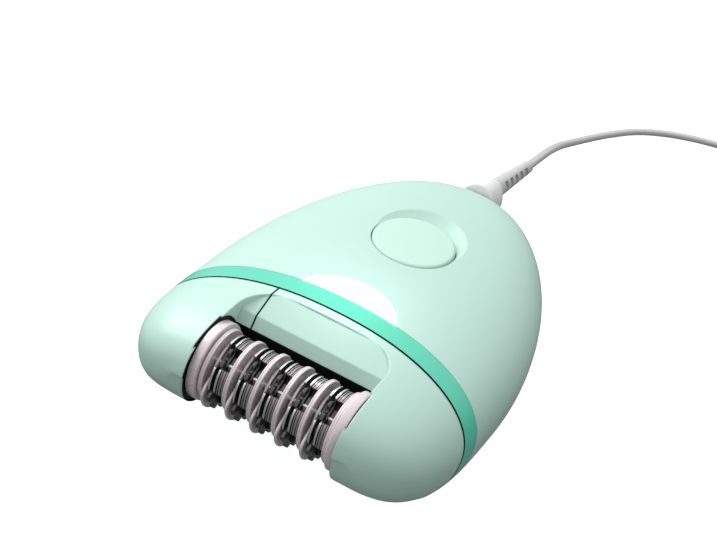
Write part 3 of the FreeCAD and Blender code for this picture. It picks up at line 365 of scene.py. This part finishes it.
def prism(name, outline, axis, low, high):
    """Solid between two copies of an outline; axis 0 takes (y, z) points, axis 2 takes (x, y) points."""
    count = len(outline)
    points = []
    for level in (low, high):
        for a, b in outline:
            points.append((level, a, b) if axis == 0 else (a, b, level))
    faces = [tuple(range(count)), tuple(range(2 * count - 1, count - 1, -1))]
    for i in range(count):
        j = (i + 1) % count
        faces.append((i, j, count + j, count + i))
    return make(name, points, faces)


def circle(radius, x=0.0, y=0.0, count=96):
    return [(x + radius * math.cos(2 * math.pi * i / count), y + radius * math.sin(2 * math.pi * i / count))
            for i in range(count)]


def lathe(name, profile, count=128, closed=True, frame_at=None, smooth=35.0):
    """Turned piece from a profile of (along, radius) points, about the drum's axis or about frame_at's axis."""
    points, faces = [], []
    n = len(profile)
    for i in range(count):
        turn = 2 * math.pi * i / count
        for along, radius in profile:
            if frame_at is None:
                points.append((along, DRUM_Y + radius * math.cos(turn), DRUM_Z + radius * math.sin(turn)))
            else:
                origin, axis, side, up = frame_at
                points.append(tuple(origin + axis * along + (side * math.cos(turn) + up * math.sin(turn)) * radius))
    for i in range(count):
        k = (i + 1) % count
        for j in range(n if closed else n - 1):
            m = (j + 1) % n
            faces.append((i * n + j, i * n + m, k * n + m, k * n + j))
    return make(name, points, faces, smooth)


def rounded_section(x_low, x_high, r_low, r_high, corner, steps=5):
    """Rectangle in (along, radius) with its two outer corners rounded."""
    points = [(x_high, r_low)]
    for cx, start in ((x_high - corner, 0.0), (x_low + corner, 90.0)):
        for i in range(steps + 1):
            turn = math.radians(start + 90.0 * i / steps)
            points.append((cx + corner * math.cos(turn), r_high - corner + corner * math.sin(turn)))
    points.append((x_low, r_low))
    return points


# ---------------------------------------------------------------- skin
def section_size(y, inset):
    along = y - WIDEST_Y
    if along < 0:
        reach, power, width_power = NOSE_LENGTH - inset, NOSE_POWER, NOSE_WIDTH_POWER
    else:
        reach, power, width_power = TAIL_LENGTH - inset, TAIL_POWER, TAIL_POWER
    place = min(abs(along) / reach, 0.999999)
    share = (1 - place ** power) ** (1 / power)
    width_share = (1 - place ** width_power) ** (1 / width_power)
    middle = MIDDLE_Z + MIDDLE_SLOPE * along + MIDDLE_CURVE * along ** 2
    return (HALF_WIDTH - inset) * width_share, (TOP_HEIGHT - inset) * share, (BASE_HEIGHT - inset) * share, middle


def top_z(x, y):
    half, up, _, middle = section_size(y, 0.0)
    return middle + up * (1 - min(abs(x) / half, 1) ** SECTION_POWER) ** (1 / SECTION_POWER)


def belly(y, inset):
    """Lowest point of the skin at a station: flat, then sloping up to the nose and round the drum."""
    across = y - DRUM_Y - 0.57 * inset
    for (y0, z0), (y1, z1) in zip(UNDERSIDE, UNDERSIDE[1:]):
        if y0 <= across <= y1:
            slope = DRUM_Z + z0 + (z1 - z0) * (across - y0) / (y1 - y0) + 0.82 * inset
            return max(slope, inset)
    return inset


def raised(z, low):
    """The higher of two heights, rounded where they are close together."""
    share = max(BELLY_BLEND - abs(z - low), 0.0) / BELLY_BLEND
    return max(z, low) + share * share * BELLY_BLEND / 4


def skin(name, inset, around=144, nose_rows=44, tail_rows=60):
    """Solid inside the pebble's skin moved inwards by inset."""
    stations = []
    nose = NOSE_LENGTH - inset
    for i in range(1, nose_rows):
        turn = math.pi / 2 * (1 - i / nose_rows)
        stations.append(WIDEST_Y - nose * math.sin(turn) ** (2 / NOSE_POWER))
    end = math.asin(TAIL_END_SHARE ** (TAIL_POWER / 2))
    for i in range(tail_rows + 1):
        stations.append(WIDEST_Y + (TAIL_LENGTH - inset) * math.sin(end * i / tail_rows) ** (2 / TAIL_POWER))
    tip = section_size(WIDEST_Y - nose, inset)[3]
    points = [(0, WIDEST_Y - nose, tip)]
    for y in stations:
        half, up, down, middle = section_size(y, inset)
        for i in range(around):
            turn = 2 * math.pi * i / around
            c, s = math.cos(turn), math.sin(turn)
            x = half * math.copysign(abs(c) ** (2 / SECTION_POWER), c)
            z = middle + math.copysign(abs(s) ** (2 / SECTION_POWER), s) * (up if s > 0 else down)
            low = belly(y, inset)
            points.append((x, y, raised(z, low) if low > inset + 0.01 else max(z, inset)))
    faces = [(0, 1 + i, 1 + (i + 1) % around) for i in range(around)]
    for row in range(len(stations) - 1):
        a, b = 1 + row * around, 1 + (row + 1) * around
        for i in range(around):
            j = (i + 1) % around
            faces.append((a + i, b + i, b + j, a + j))
    last = 1 + (len(stations) - 1) * around
    faces.append(tuple(last + i for i in range(around)))
    return make(name, points, faces)


def paint(obj, material, chosen):
    """Gives a second material to the faces whose middle and normal pass the test, in millimetres."""
    obj.data.materials.append(MATERIALS[material])
    index = len(obj.data.materials) - 1
    for face in obj.data.polygons:
        if chosen(face.center / MM, face.normal):
            face.material_index = index


def band_slab(name, near, far, steps=72):
    """Solid between two offsets of the band's bowed, tilted edge."""
    up = Vector((0, math.sin(BAND_TILT), math.cos(BAND_TILT)))
    side = Vector((1, 0, 0))
    centre = Vector((0, BAND_Y, MIDDLE_Z)) - BAND_NORMAL * BAND_BOW
    outline = []
    for offset, order in ((near, 1), (far, -1)):
        for i in range(steps + 1):
            turn = math.radians(16.0) * (2 * i / steps - 1) * order
            outline.append(centre + (BAND_NORMAL * math.cos(turn) + side * math.sin(turn)) * (BAND_BOW + offset))
    count = len(outline)
    points = [tuple(p + up * level) for level in (-70, 70) for p in outline]
    faces = [tuple(range(count)), tuple(range(2 * count - 1, count - 1, -1))]
    for i in range(count):
        j = (i + 1) % count
        faces.append((i, j, count + j, count + i))
    return make(name, points, faces)


def bay(name, grow):
    """The drum's bay and the sloping recess round it."""
    deep = prism(name, circle(BAY_RADIUS + grow, DRUM_Y, DRUM_Z, 160), 0, -BAY_HALF_WIDTH - grow,
                 BAY_HALF_WIDTH + grow)
    side = BAY_HALF_WIDTH + grow
    slopes = prism("slopes", [(DRUM_Y + y + (grow if y > 0 else 0), DRUM_Z + z) for y, z in BAY_PROFILE], 0,
                   -side, side)
    half, back = RECESS_HALF_WIDTH + grow, RECESS_BACK_Y + grow
    plan = [(-half, -120), (half, -120)]
    for sign in (1, -1):
        for i in range(25):
            turn = math.radians(90.0 * i / 24 if sign > 0 else 90.0 + 90.0 * i / 24)
            plan.append((sign * (half - RECESS_CORNER) + RECESS_CORNER * math.cos(turn),
                         back - RECESS_CORNER + RECESS_CORNER * math.sin(turn)))
    combine(slopes, prism("plan", plan, 2, -60, 90), "INTERSECT")
    return combine(deep, slopes, "UNION")


outer = skin("outer", 0.0)
inner = skin("inner", WALL)
head_region = band_slab("head_region", -150.0, -HEAD_GAP)
band_region = band_slab("band_region", 0.0, BAND_WIDTH)
tail_region = band_slab("tail_region", BAND_WIDTH, 150.0)


def in_bay(centre, normal):
    """True for the walls of the deep part of the drum's bay, which get painted shade."""
    across, above = centre.y - DRUM_Y, centre.z - DRUM_Z
    reach = math.hypot(across, above)
    return reach < BAY_RADIUS + 0.05 and abs(centre.x) < BAY_HALF_WIDTH - 0.1 and above < 6.2


# Head: hood split by a seam into main and side cover
hood = combine(copy_of(outer, "hood"), head_region, "INTERSECT")
hollow = combine(copy_of(inner, "hollow"), bay("bay_wall", BAY_WALL), "DIFFERENCE")
combine(hood, bay("bay", 0.0), "DIFFERENCE")
combine(hood, hollow, "DIFFERENCE")
axle_hole = prism("axle_hole", circle(AXLE_HOLE_RADIUS, DRUM_Y, DRUM_Z, 64), 0, -AXLE_HOLE_REACH, AXLE_HOLE_REACH)
combine(hood, axle_hole, "DIFFERENCE")
whole_side = [(-90, -20), (40, -20), (40, 70), (-90, 70)]
left_part = prism("left_part", whole_side, 0, -80, SIDE_SEAM_X - SIDE_SEAM_HALF_GAP)
right_part = prism("right_part", whole_side, 0, SIDE_SEAM_X + SIDE_SEAM_HALF_GAP, 80)
side_cover = combine(copy_of(hood, "head_side_cover_shell"), left_part, "INTERSECT")
main_cover = combine(hood, right_part, "INTERSECT")
main_cover.name = "head_main_cover_shell"
for cover, node in ((main_cover, "head_main_cover"), (side_cover, "head_side_cover")):
    shade(cover, 28.0)
    placed(cover, "head", "head_mint", [node])
    # painted shade on the deep walls of the bay
    paint(cover, "bay_painted_shade", in_bay)
    # painted shade on the end walls of the bay
    paint(cover, "bay_side_painted_shade", lambda c, n: abs(n.x) > 0.9 and abs(abs(c.x) - BAY_HALF_WIDTH) < 0.02)
    # painted shade on the walls inside the seams to the band and between the two covers
    paint(cover, "seam_gap_painted_shade", lambda c, n: n.dot(BAND_NORMAL) > 0.9 and c.y > DRUM_Y + 3)
    paint(cover, "seam_gap_painted_shade", lambda c, n: abs(n.x) > 0.95 and abs(c.x - SIDE_SEAM_X) < 0.4)

# Band
wall = combine(copy_of(outer, "wall"), inner, "DIFFERENCE")
band = combine(copy_of(wall, "trim_band_ring"), band_region, "INTERSECT")
shade(band, 30.0)
placed(band, "handle", "band_green", ["trim_band"])
# painted shade on the band's face inside the gap to the head
paint(band, "seam_gap_painted_shade", lambda c, n: n.dot(BAND_NORMAL) < -0.9)

# Light's lens
lens = skin("light_lens_cover", -LENS_PROUD)
combine(lens, prism("lens_prism", circle(LENS_RADIUS, 0, LENS_Y, 160), 2, DRUM_Z + 2, 60), "INTERSECT")
combine(lens, skin("lens_inside", LENS_DEPTH), "DIFFERENCE")
combine(lens, band_slab("lens_edge", BAND_WIDTH, 150.0), "INTERSECT")
shade(lens, 30.0)
placed(lens, "handle", "lens_clear", ["light_lens"])

# Handle shells
combine(wall, tail_region, "INTERSECT")
seam_front = SHELL_SEAM_Z - 90 * SHELL_SEAM_RISE
seam_back = SHELL_SEAM_Z + 90 * SHELL_SEAM_RISE
upper_region = prism("upper_region", [(-90, seam_front), (90, seam_back), (90, 90), (-90, 90)], 0, -80, 80)
lower_region = prism("lower_region", [(-90, seam_front - SHELL_SEAM_GAP), (90, seam_back - SHELL_SEAM_GAP),
                                      (90, -60), (-90, -60)], 0, -80, 80)
mouth = prism("mouth", circle(SOCKET_HOLE_RADIUS, 0, SOCKET_Z, 48), 2, 0, 20)
mouth.matrix_world = Matrix(((1, 0, 0, 0), (0, 0, 1, SOCKET_HOLE_Y * MM), (0, 1, 0, 0), (0, 0, 0, 1)))
top = combine(copy_of(wall, "handle_top_cover"), upper_region, "INTERSECT")
combine(top, prism("lens_hole", circle(LENS_RADIUS + LENS_GAP, 0, LENS_Y, 160), 2, DRUM_Z + 2, 60), "DIFFERENCE")
scoop_floor = skin("scoop_floor", SCOOP_FLOOR_INSET)
combine(scoop_floor, prism("scoop_post", circle(SCOOP_RADIUS + SCOOP_MARGIN, 0, SCOOP_Y, 96), 2, DRUM_Z + 6.5, 60),
        "INTERSECT")
combine(top, scoop_floor, "UNION")


def dish(name):
    """Cutter for the shallow scoop: a deep cap of a large ball, turned about a vertical axis."""
    ball_radius = (SCOOP_RADIUS ** 2 + SCOOP_DEPTH ** 2) / (2 * SCOOP_DEPTH)
    bottom_z = top_z(0, SCOOP_Y) - SCOOP_DEPTH
    points, faces = [(0, SCOOP_Y, bottom_z)], []
    rows, around = 40, 160
    for i in range(1, rows + 1):
        turn = math.radians(60.0) * i / rows
        radius = ball_radius * math.sin(turn)
        height = bottom_z + ball_radius * (1 - math.cos(turn))
        points += [(x, y, height) for x, y in circle(radius, 0.0, SCOOP_Y, around)]
    faces += [(0, 1 + (k + 1) % around, 1 + k) for k in range(around)]
    for i in range(rows - 1):
        a, b = 1 + i * around, 1 + (i + 1) * around
        faces += [(a + k, a + (k + 1) % around, b + (k + 1) % around, b + k) for k in range(around)]
    faces.append(tuple(1 + (rows - 1) * around + k for k in range(around)))
    return make(name, points, faces)


combine(top, dish("dish"), "DIFFERENCE")
combine(top, prism("button_hole", circle(BUTTON_RADIUS + BUTTON_GAP, 0, BUTTON_Y, 160), 2, 0, 60), "DIFFERENCE")
combine(top, mouth, "DIFFERENCE", keep=True)
shade(top, 28.0)
placed(top, "handle", "shell_mint", ["handle_top_shell"])

bottom = combine(wall, lower_region, "INTERSECT")
bottom.name = "handle_bottom_cover"
combine(bottom, mouth, "DIFFERENCE")
release_front, release_back = RELEASE_Y[0] - RELEASE_GAP, RELEASE_Y[1] + RELEASE_GAP
combine(bottom, prism("release_hole", [(-RELEASE_HALF_WIDTH, release_front), (RELEASE_HALF_WIDTH, release_front),
                                       (RELEASE_HALF_WIDTH, release_back), (-RELEASE_HALF_WIDTH, release_back)],
                      2, -2, 4.7), "DIFFERENCE")
for x, y in SCREW_PLACES:
    combine(bottom, prism("screw_hole", circle(SCREW_HOLE_RADIUS, x, y, 40), 2, -2, 12), "DIFFERENCE")
shade(bottom, 28.0)
placed(bottom, "handle", "shell_mint", ["handle_bottom_shell"])
discard(outer)


def button_cap():
    """Round cap that follows the skin, with a rolled edge and a skirt."""
    around, rings = 160, 24
    points, faces = [(0, BUTTON_Y, top_z(0, BUTTON_Y) + BUTTON_PROUD)], []
    sections = [(BUTTON_RADIUS * (i / rings) * 0.93, 0.0) for i in range(1, rings + 1)]
    edge = BUTTON_RADIUS * 0.07
    for i in range(1, 7):
        turn = math.pi / 2 * i / 6
        sections.append((BUTTON_RADIUS - edge + edge * math.sin(turn), 0.55 * (1 - math.cos(turn))))
    sections += [(BUTTON_RADIUS, 1.2), (BUTTON_RADIUS, 2.2), (BUTTON_RADIUS - 1.2, 2.2), (BUTTON_RADIUS - 1.2, 1.6)]
    for radius, drop in sections:
        for k in range(around):
            turn = 2 * math.pi * k / around
            x, y = radius * math.cos(turn), BUTTON_Y + radius * math.sin(turn)
            points.append((x, y, top_z(x, y) + BUTTON_PROUD - drop))
    faces += [(0, 1 + k, 1 + (k + 1) % around) for k in range(around)]
    for i in range(len(sections) - 1):
        a, b = 1 + i * around, 1 + (i + 1) * around
        faces += [(a + k, b + k, b + (k + 1) % around, a + (k + 1) % around) for k in range(around)]
    faces.append(tuple(1 + (len(sections) - 1) * around + k for k in range(around)))
    return make("power_button_cap", points, faces, 50.0)


placed(button_cap(), "button", "button_mint", ["power_button"])


# ---------------------------------------------------------------- drum
def join(name, objects):
    """One object from several, each kept as its own closed shell."""
    work = bmesh.new()
    for obj in objects:
        work.from_mesh(obj.data)
    mesh = bpy.data.meshes.new(name)
    work.to_mesh(mesh)
    work.free()
    discard(*objects)
    joined = bpy.data.objects.new(name, mesh)
    link(joined)
    return joined


def ring_section(x):
    """Guide ring: thin web whose rim has two rounded edges with a groove between them."""
    points = [(x + 0.3, CORE_RADIUS), (x + 0.3, RING_RADIUS - 1.0)]
    for side in (1, -1):
        arc = []
        for i in range(9):
            turn = math.radians(-60.0 + 200.0 * i / 8)
            arc.append((x + side * (0.25 + 0.24 * math.cos(turn)), RING_RADIUS - 0.24 + 0.24 * math.sin(turn)))
        points += arc if side > 0 else arc[::-1]
    return points + [(x - 0.3, RING_RADIUS - 1.0), (x - 0.3, CORE_RADIUS)]


def star(name, x, thickness, reach, count=240):
    """Thin plate whose outline is reach(angle)."""
    outline = [(DRUM_Y + reach(a) * math.cos(a), DRUM_Z + reach(a) * math.sin(a))
               for a in (2 * math.pi * i / count for i in range(count))]
    return prism(name, outline, 0, x - thickness / 2, x + thickness / 2)


def lobes(turn, count, start, half, tip, valley, soft):
    """Radius of a lobed outline: tip within half an angle of each lobe's middle, valley elsewhere."""
    pitch = 2 * math.pi / count
    away = abs((turn - start + pitch / 2) % pitch - pitch / 2)
    blend = min(max((away - half) / soft, 0.0), 1.0)
    blend = blend * blend * (3 - 2 * blend)
    return tip + (valley - tip) * blend


def disc_reach(turn):
    return lobes(turn, 4, LOBE_START, math.radians(20), DISC_RADIUS, 5.4, math.radians(11))


def spacer_reach(turn):
    knob = lobes(turn, 1, LOBE_START + math.radians(150), math.radians(33), 2.1, 0.0, math.radians(8))
    return lobes(turn, 12, LOBE_START, math.radians(5), 6.3 + knob, 5.5 + 0.5 * knob, math.radians(9))


def crescent_reach(turn):
    """Outline of a slanted plate: it comes close to the rings on one side only."""
    return lobes(turn, 1, math.radians(238), math.radians(40), 8.9, 5.3, math.radians(34))


def from_axis(place):
    """Distance from the drum's axis."""
    return math.hypot(place.y - DRUM_Y, place.z - DRUM_Z)


rings = [lathe("ring", ring_section(x), 160) for x in RING_X]
placed(join("guide_ring_set", rings), "drum", "ring_pink", ["guide_rings"])
for label, offset in DISC_OFFSETS:
    plates = [star("disc", x + offset, DISC_THICKNESS, disc_reach) for x in RING_X[:-1]]
    discs = placed(bevelled(join("tweezer_disc_set_" + label, plates), 0.07), "drum", "disc_steel",
                   ["tweezer_discs_" + label])
    # painted shade: the discs' flat sides and inner parts are darkened, so only their rims stay bright
    paint(discs, "dark_hub_and_painted_shade", lambda c, n: abs(n.x) > 0.7 or from_axis(c) < DISC_RADIUS - 0.15)
hubs = [star("hub", x + HUB_OFFSET, HUB_THICKNESS, spacer_reach) for x in RING_X[:-1]]
placed(bevelled(join("hub_spacer_set", hubs), 0.15), "drum", "frame_grey", ["hub_spacers"], "dark_hub_and_painted_shade")

tilted = []
for x in RING_X[:-1]:
    plate = star("plate", x + PLATE_OFFSET, PLATE_THICKNESS, crescent_reach)
    pivot = Vector((x + PLATE_OFFSET, DRUM_Y, DRUM_Z)) * MM
    turned = Matrix.Translation(pivot) @ Matrix.Rotation(PLATE_TILT, 4, "Z") @ Matrix.Translation(-pivot)
    plate.data.transform(turned)
    tilted.append(plate)
placed(bevelled(join("tilted_plate_set", tilted), 0.22, 3), "drum", "disc_steel", ["tilted_plates"], "ring_pink")


def pad(x, middle):
    """Grooved segment of a cylinder beside a ring."""
    section = [(0.7, 4.6), (0.7, 6.9), (0.6, 7.0), (0.4, 7.0), (0.36, 6.75), (0.24, 6.75), (0.2, 7.0), (-0.2, 7.0),
               (-0.24, 6.75), (-0.36, 6.75), (-0.4, 7.0), (-0.6, 7.0), (-0.7, 6.9), (-0.7, 4.6)]
    steps, half = 20, math.radians(23.0)
    points, faces = [], []
    n = len(section)
    for i in range(steps + 1):
        turn = middle - half + 2 * half * i / steps
        points += [(x + a, DRUM_Y + r * math.cos(turn), DRUM_Z + r * math.sin(turn)) for a, r in section]
    for i in range(steps):
        for j in range(n):
            m = (j + 1) % n
            faces.append((i * n + j, i * n + m, (i + 1) * n + m, (i + 1) * n + j))
    faces.append(tuple(range(n)))
    faces.append(tuple(steps * n + j for j in reversed(range(n))))
    return make("pad", points, faces)


pads = []
for x in RING_X[:-1]:
    pads += [pad(x + PAD_OFFSET, LOBE_START + math.pi / 2 * k) for k in range(4)]
    pads.append(lathe("pad_hub", rounded_section(x + 3.55, x + 4.95, CORE_RADIUS, 4.9, 0.1), 96))
pads = placed(join("grooved_pad_set", pads), "drum", "ring_pink", ["grooved_segments"])
# painted shade: the pads' sides and the parts inside the grooved face are darkened
paint(pads, "dark_hub_and_painted_shade", lambda c, n: from_axis(c) < PAD_FACE_RADIUS or abs(n.x) > 0.9)
paint(pads, "pad_metal", lambda c, n: from_axis(c) >= PAD_FACE_RADIUS and abs(n.x) <= 0.9)

collars = []
for side in (-1, 1):
    low, high = COLLAR_INNER_X, COLLAR_OUTER_X
    profile = [(low, CORE_RADIUS), (low, 8.3), (low + 0.15, COLLAR_RADIUS), (high - 0.3, COLLAR_RADIUS),
               (high - 0.1, 8.35), (high, 8.15), (high, CORE_RADIUS)]
    collars.append(lathe("collar", [(side * a, r) for a, r in profile], 160))
placed(bevelled(join("end_collar_pair", collars), 0.06, 2, 30.0), "drum", "ring_pink", ["end_collars"])


# ---------------------------------------------------------------- plug and lead
PLUG_AXIS = Vector((0, math.cos(PLUG_DROP), -math.sin(PLUG_DROP)))
PLUG_UP = Vector((0, math.sin(PLUG_DROP), math.cos(PLUG_DROP)))
PLUG_START = Vector((0, PLUG_Y, PLUG_Z))


def plug_lathe(name, profile, count):
    return lathe(name, profile, count, False, (PLUG_START, PLUG_AXIS, Vector((1, 0, 0)), PLUG_UP))


plug_profile = [(0.35, 0.01), (0.35, 3.7), (0.37, 4.0), (0.5, 4.2), (0.8, 4.3), (1.6, 4.42), (3.2, 4.65),
                (4.6, 4.78), (5.2, 4.75), (5.7, 4.55), (6.4, 4.1), (7.6, 3.4), (8.8, 2.95), (10.0, 2.72),
                (10.6, 2.68), (10.65, 2.5), (10.65, 0.01)]
plug = placed(plug_lathe("appliance_plug_grip", plug_profile, 96), "handle", "plug_white", ["appliance_plug"])
relief_profile = [(10.4, 0.01), (10.4, 2.45)]
for k in range(40):
    along = 10.6 + k * (RELIEF_LENGTH - 0.4) / 39
    relief_profile.append((along, 2.5 - 0.9 * (along - 10.5) / RELIEF_LENGTH))
relief_profile += [(PLUG_LENGTH + RELIEF_LENGTH, 1.45), (PLUG_LENGTH + RELIEF_LENGTH, 0.01)]
relief = plug_lathe("bend_relief_sleeve", relief_profile, 64)
for k in range(5):
    at = PLUG_LENGTH + 3.2 + 3.6 * k
    for side in (-1, 1):
        slot_low = 1.1 - 0.13 * k
        cutter = prism("slot", [(side * slot_low, at), (side * 6, at), (side * 6, at + 2.0),
                                (side * slot_low, at + 2.0)], 2, -1.9 + 0.12 * k, 1.9 - 0.12 * k)
        cutter.matrix_world = Matrix.Translation(PLUG_START * MM) @ Matrix.Rotation(-PLUG_DROP, 4, "X")
        combine(relief, cutter, "DIFFERENCE")
shade(relief, 35.0)
relief = placed(bevelled(relief, 0.12, 2), "handle", "relief_grey", ["strain_relief"])

# Route of the lead, in millimetres
EXIT = PLUG_START + PLUG_AXIS * (PLUG_LENGTH + RELIEF_LENGTH + 0.15)
ROUTE = [
    tuple(EXIT - PLUG_AXIS * 1.5), (-0.7, 95.0, 19.7), (-2.1, 109.0, 15.8), (-3.3, 122.5, 11.2),
    (-3.5, 136.0, 6.8), (-2.8, 149.0, 3.3), (-0.4, 160.5, 1.3), (4.0, 169.5, 0.95), (10.5, 176.0, 0.95),
    (18.5, 181.0, 0.95), (27.5, 184.6, 0.95), (37.0, 186.0, 0.95), (46.5, 185.6, 0.95),
]
COIL_X, COIL_Y = 58.0, 166.0
COLUMNS = [17.9, 15.5, 13.1, 10.7]
LAYER = 1.95
TURNS = 17.25


def coil_place(turns):
    """Radius and height in the coil after a number of turns: back and forth across, one layer on the next."""
    whole = int(turns)
    part = turns - whole
    step = min(max((part - 0.8) / 0.2, 0.0), 1.0)
    step = step * step * (3 - 2 * step)

    def cell(index):
        layer, column = divmod(index, 4)
        return COLUMNS[column] if layer % 2 == 0 else COLUMNS[3 - column], 0.95 + LAYER * layer

    here, after = cell(whole), cell(whole + 1)
    return here[0] + (after[0] - here[0]) * step, here[1] + (after[1] - here[1]) * step


for i in range(int(TURNS * 12)):
    turns = i / 12
    radius, height = coil_place(turns)
    angle = math.pi / 2 - 2 * math.pi * turns
    ROUTE.append((COIL_X + radius * math.cos(angle), COIL_Y + radius * math.sin(angle), height))
ROUTE += [(78.3, 164.0, 8.8), (79.4, 157.5, 9.3), (80.0, 149.0, 10.6), (80.0, 139.0, 11.0)]

profile_curve = bpy.data.curves.new("lead_profile", "CURVE")
profile_curve.dimensions = "2D"
outline = profile_curve.splines.new("POLY")
shape = []
for side in (1, -1):
    for i in range(13):
        turn = math.radians(-105 + 210 * i / 12) + (0 if side > 0 else math.pi)
        shape.append((side * 0.35 + 0.85 * math.cos(turn), 0.90 * math.sin(turn)))
outline.points.add(len(shape) - 1)
for point, (x, y) in zip(outline.points, shape):
    point.co = (x * MM, y * MM, 0, 1)
outline.use_cyclic_u = True
profile_object = bpy.data.objects.new("lead_profile", profile_curve)
link(profile_object)
profile_object.hide_render = True

lead_curve = bpy.data.curves.new("lead", "CURVE")
lead_curve.dimensions = "3D"
lead_curve.twist_mode = "Z_UP"
lead_curve.resolution_u = 8
lead_curve.bevel_mode = "OBJECT"
lead_curve.bevel_object = profile_object
lead_curve.use_fill_caps = True
spline = lead_curve.splines.new("NURBS")
spline.points.add(len(ROUTE) - 1)
for point, place in zip(spline.points, ROUTE):
    point.co = (*(c * MM for c in place), 1.0)
spline.order_u = 3
spline.use_endpoint_u = True
spline.resolution_u = 8
lead = bpy.data.objects.new("power_lead", lead_curve)
link(lead)
placed(lead, "handle", "cord_grey", ["power_cord", "adapter_cord", "cord_coil"])

TIE_X, TIE_Y = COIL_X - 14.3, COIL_Y
TIE_HALF_WIDTH = 5.35      # inside, across the bundle
TIE_THICKNESS = 0.7
TIE_MIDDLE_Z = 5.2
TIE_CORNER = 0.35          # power that squares the strap's outline


def tie_band():
    """Soft strap wound round the coil's bundle."""
    points, faces = [], []
    rows, around = 7, 48
    for j in range(rows):
        y = TIE_Y - 3 + 6 * j / (rows - 1)
        bulge = 0.1 * math.sin(math.pi * j / (rows - 1))
        for inner_side in (0, 1):
            for k in range(around):
                turn = 2 * math.pi * k / around
                c, s = math.cos(turn), math.sin(turn)
                if inner_side:
                    half_x, half_z = TIE_HALF_WIDTH, 4.9
                else:
                    half_x, half_z = TIE_HALF_WIDTH + TIE_THICKNESS + bulge, 5.2
                x = TIE_X + half_x * math.copysign(abs(c) ** TIE_CORNER, c)
                z = TIE_MIDDLE_Z + half_z * math.copysign(abs(s) ** TIE_CORNER, s)
                points.append((x, y, max(z, 0.03)))
    for j in range(rows - 1):
        for side in (0, 1):
            a, b = (2 * j + side) * around, (2 * j + 2 + side) * around
            for k in range(around):
                m = (k + 1) % around
                faces.append((a + k, b + k, b + m, a + m))
    for j in (0, rows - 1):
        a, b = 2 * j * around, (2 * j + 1) * around
        for k in range(around):
            m = (k + 1) % around
            faces.append((a + k, a + m, b + m, b + k))
    return make("lead_tie", points, faces, 50.0)


tie = placed(tie_band(), "handle", "tie_black", ["cord_tie"])


# ---------------------------------------------------------------- stage
def floor():
    size, z = 3.0, -0.00005
    mesh = bpy.data.meshes.new("floor")
    mesh.from_pydata([(-size, -size, z), (size, -size, z), (size, size, z), (-size, size, z)], [], [(0, 1, 2, 3)])
    obj = bpy.data.objects.new("floor", mesh)
    link(obj)
    obj.visible_diffuse = obj.visible_glossy = False
    material, tree, shader = new_material("floor_white")
    shader.inputs["Emission Color"].default_value = (1, 1, 1, 1)
    shader.inputs["Emission Strength"].default_value = 0.85
    tree.links.new(ramp(tree, noise(tree, 8.0), [(0.3, (0.96, 0.96, 0.96)), (0.7, (0.97, 0.97, 0.97))]),
                   shader.inputs["Base Color"])
    shader.inputs["Roughness"].default_value = 0.9
    obj.data.materials.append(material)


floor()


def area_light(name, place, target, size, power):
    light = bpy.data.lights.new(name, "AREA")
    light.shape = "RECTANGLE"
    light.size, light.size_y = size
    light.energy = power
    obj = bpy.data.objects.new(name, light)
    obj.location = place
    direction = Vector(target) - Vector(place)
    obj.rotation_euler = direction.to_track_quat("-Z", "Y").to_euler()
    link(obj)


area_light("key_light", (-0.55, 0.15, 0.50), (0, 0, 0.01), (0.45, 0.45), 3.4)
glow = bpy.data.lights.new("lens_glow", "POINT")
glow.energy = 0.0045
glow.shadow_soft_size = 0.004
glow.color = (0.97, 0.96, 1.0)
glow_object = bpy.data.objects.new("lens_glow", glow)
glow_object.location = (0, (LENS_Y + 2) * MM, (DRUM_Z + 25) * MM)
link(glow_object)
world = bpy.data.worlds.new("studio")
world.use_nodes = True
sky = world.node_tree
direction = add(sky, "ShaderNodeTexCoord")
height = add(sky, "ShaderNodeVectorMath", operation="DOT_PRODUCT")
height.inputs[1].default_value = (-0.34, 0.05, 0.93)
sky.links.new(direction.outputs["Generated"], height.inputs[0])
share = add(sky, "ShaderNodeMapRange")
share.inputs["From Min"].default_value = -1.0
sky.links.new(height.outputs["Value"], share.inputs["Value"])
tone = ramp(sky, share.outputs["Result"],
            [(0.25, (0.19, 0.20, 0.20)), (0.50, (0.27, 0.28, 0.28)), (0.85, (1.0, 1.0, 1.0))])
sky.links.new(tone, sky.nodes["Background"].inputs["Color"])
sky.nodes["Background"].inputs["Strength"].default_value = 0.98
bpy.context.scene.world = world
bpy.context.scene.view_settings.view_transform = "Standard"

camera_data = bpy.data.cameras.new("camera")
camera_data.sensor_width = 36.0
camera_data.lens = 77.27
camera_data.clip_start = 0.01
camera = bpy.data.objects.new("camera", camera_data)
right = Vector((0.8548, 0.4773, 0.2037)).normalized()
back = Vector((0.3064, -0.7810, 0.5442))
back = (back - right * back.dot(right)).normalized()
up = back.cross(right)
camera.matrix_world = Matrix(((right.x, up.x, back.x, 0.09511), (right.y, up.y, back.y, -0.25544),
                              (right.z, up.z, back.z, 0.20328), (0, 0, 0, 1)))
link(camera)
bpy.context.scene.camera = camera
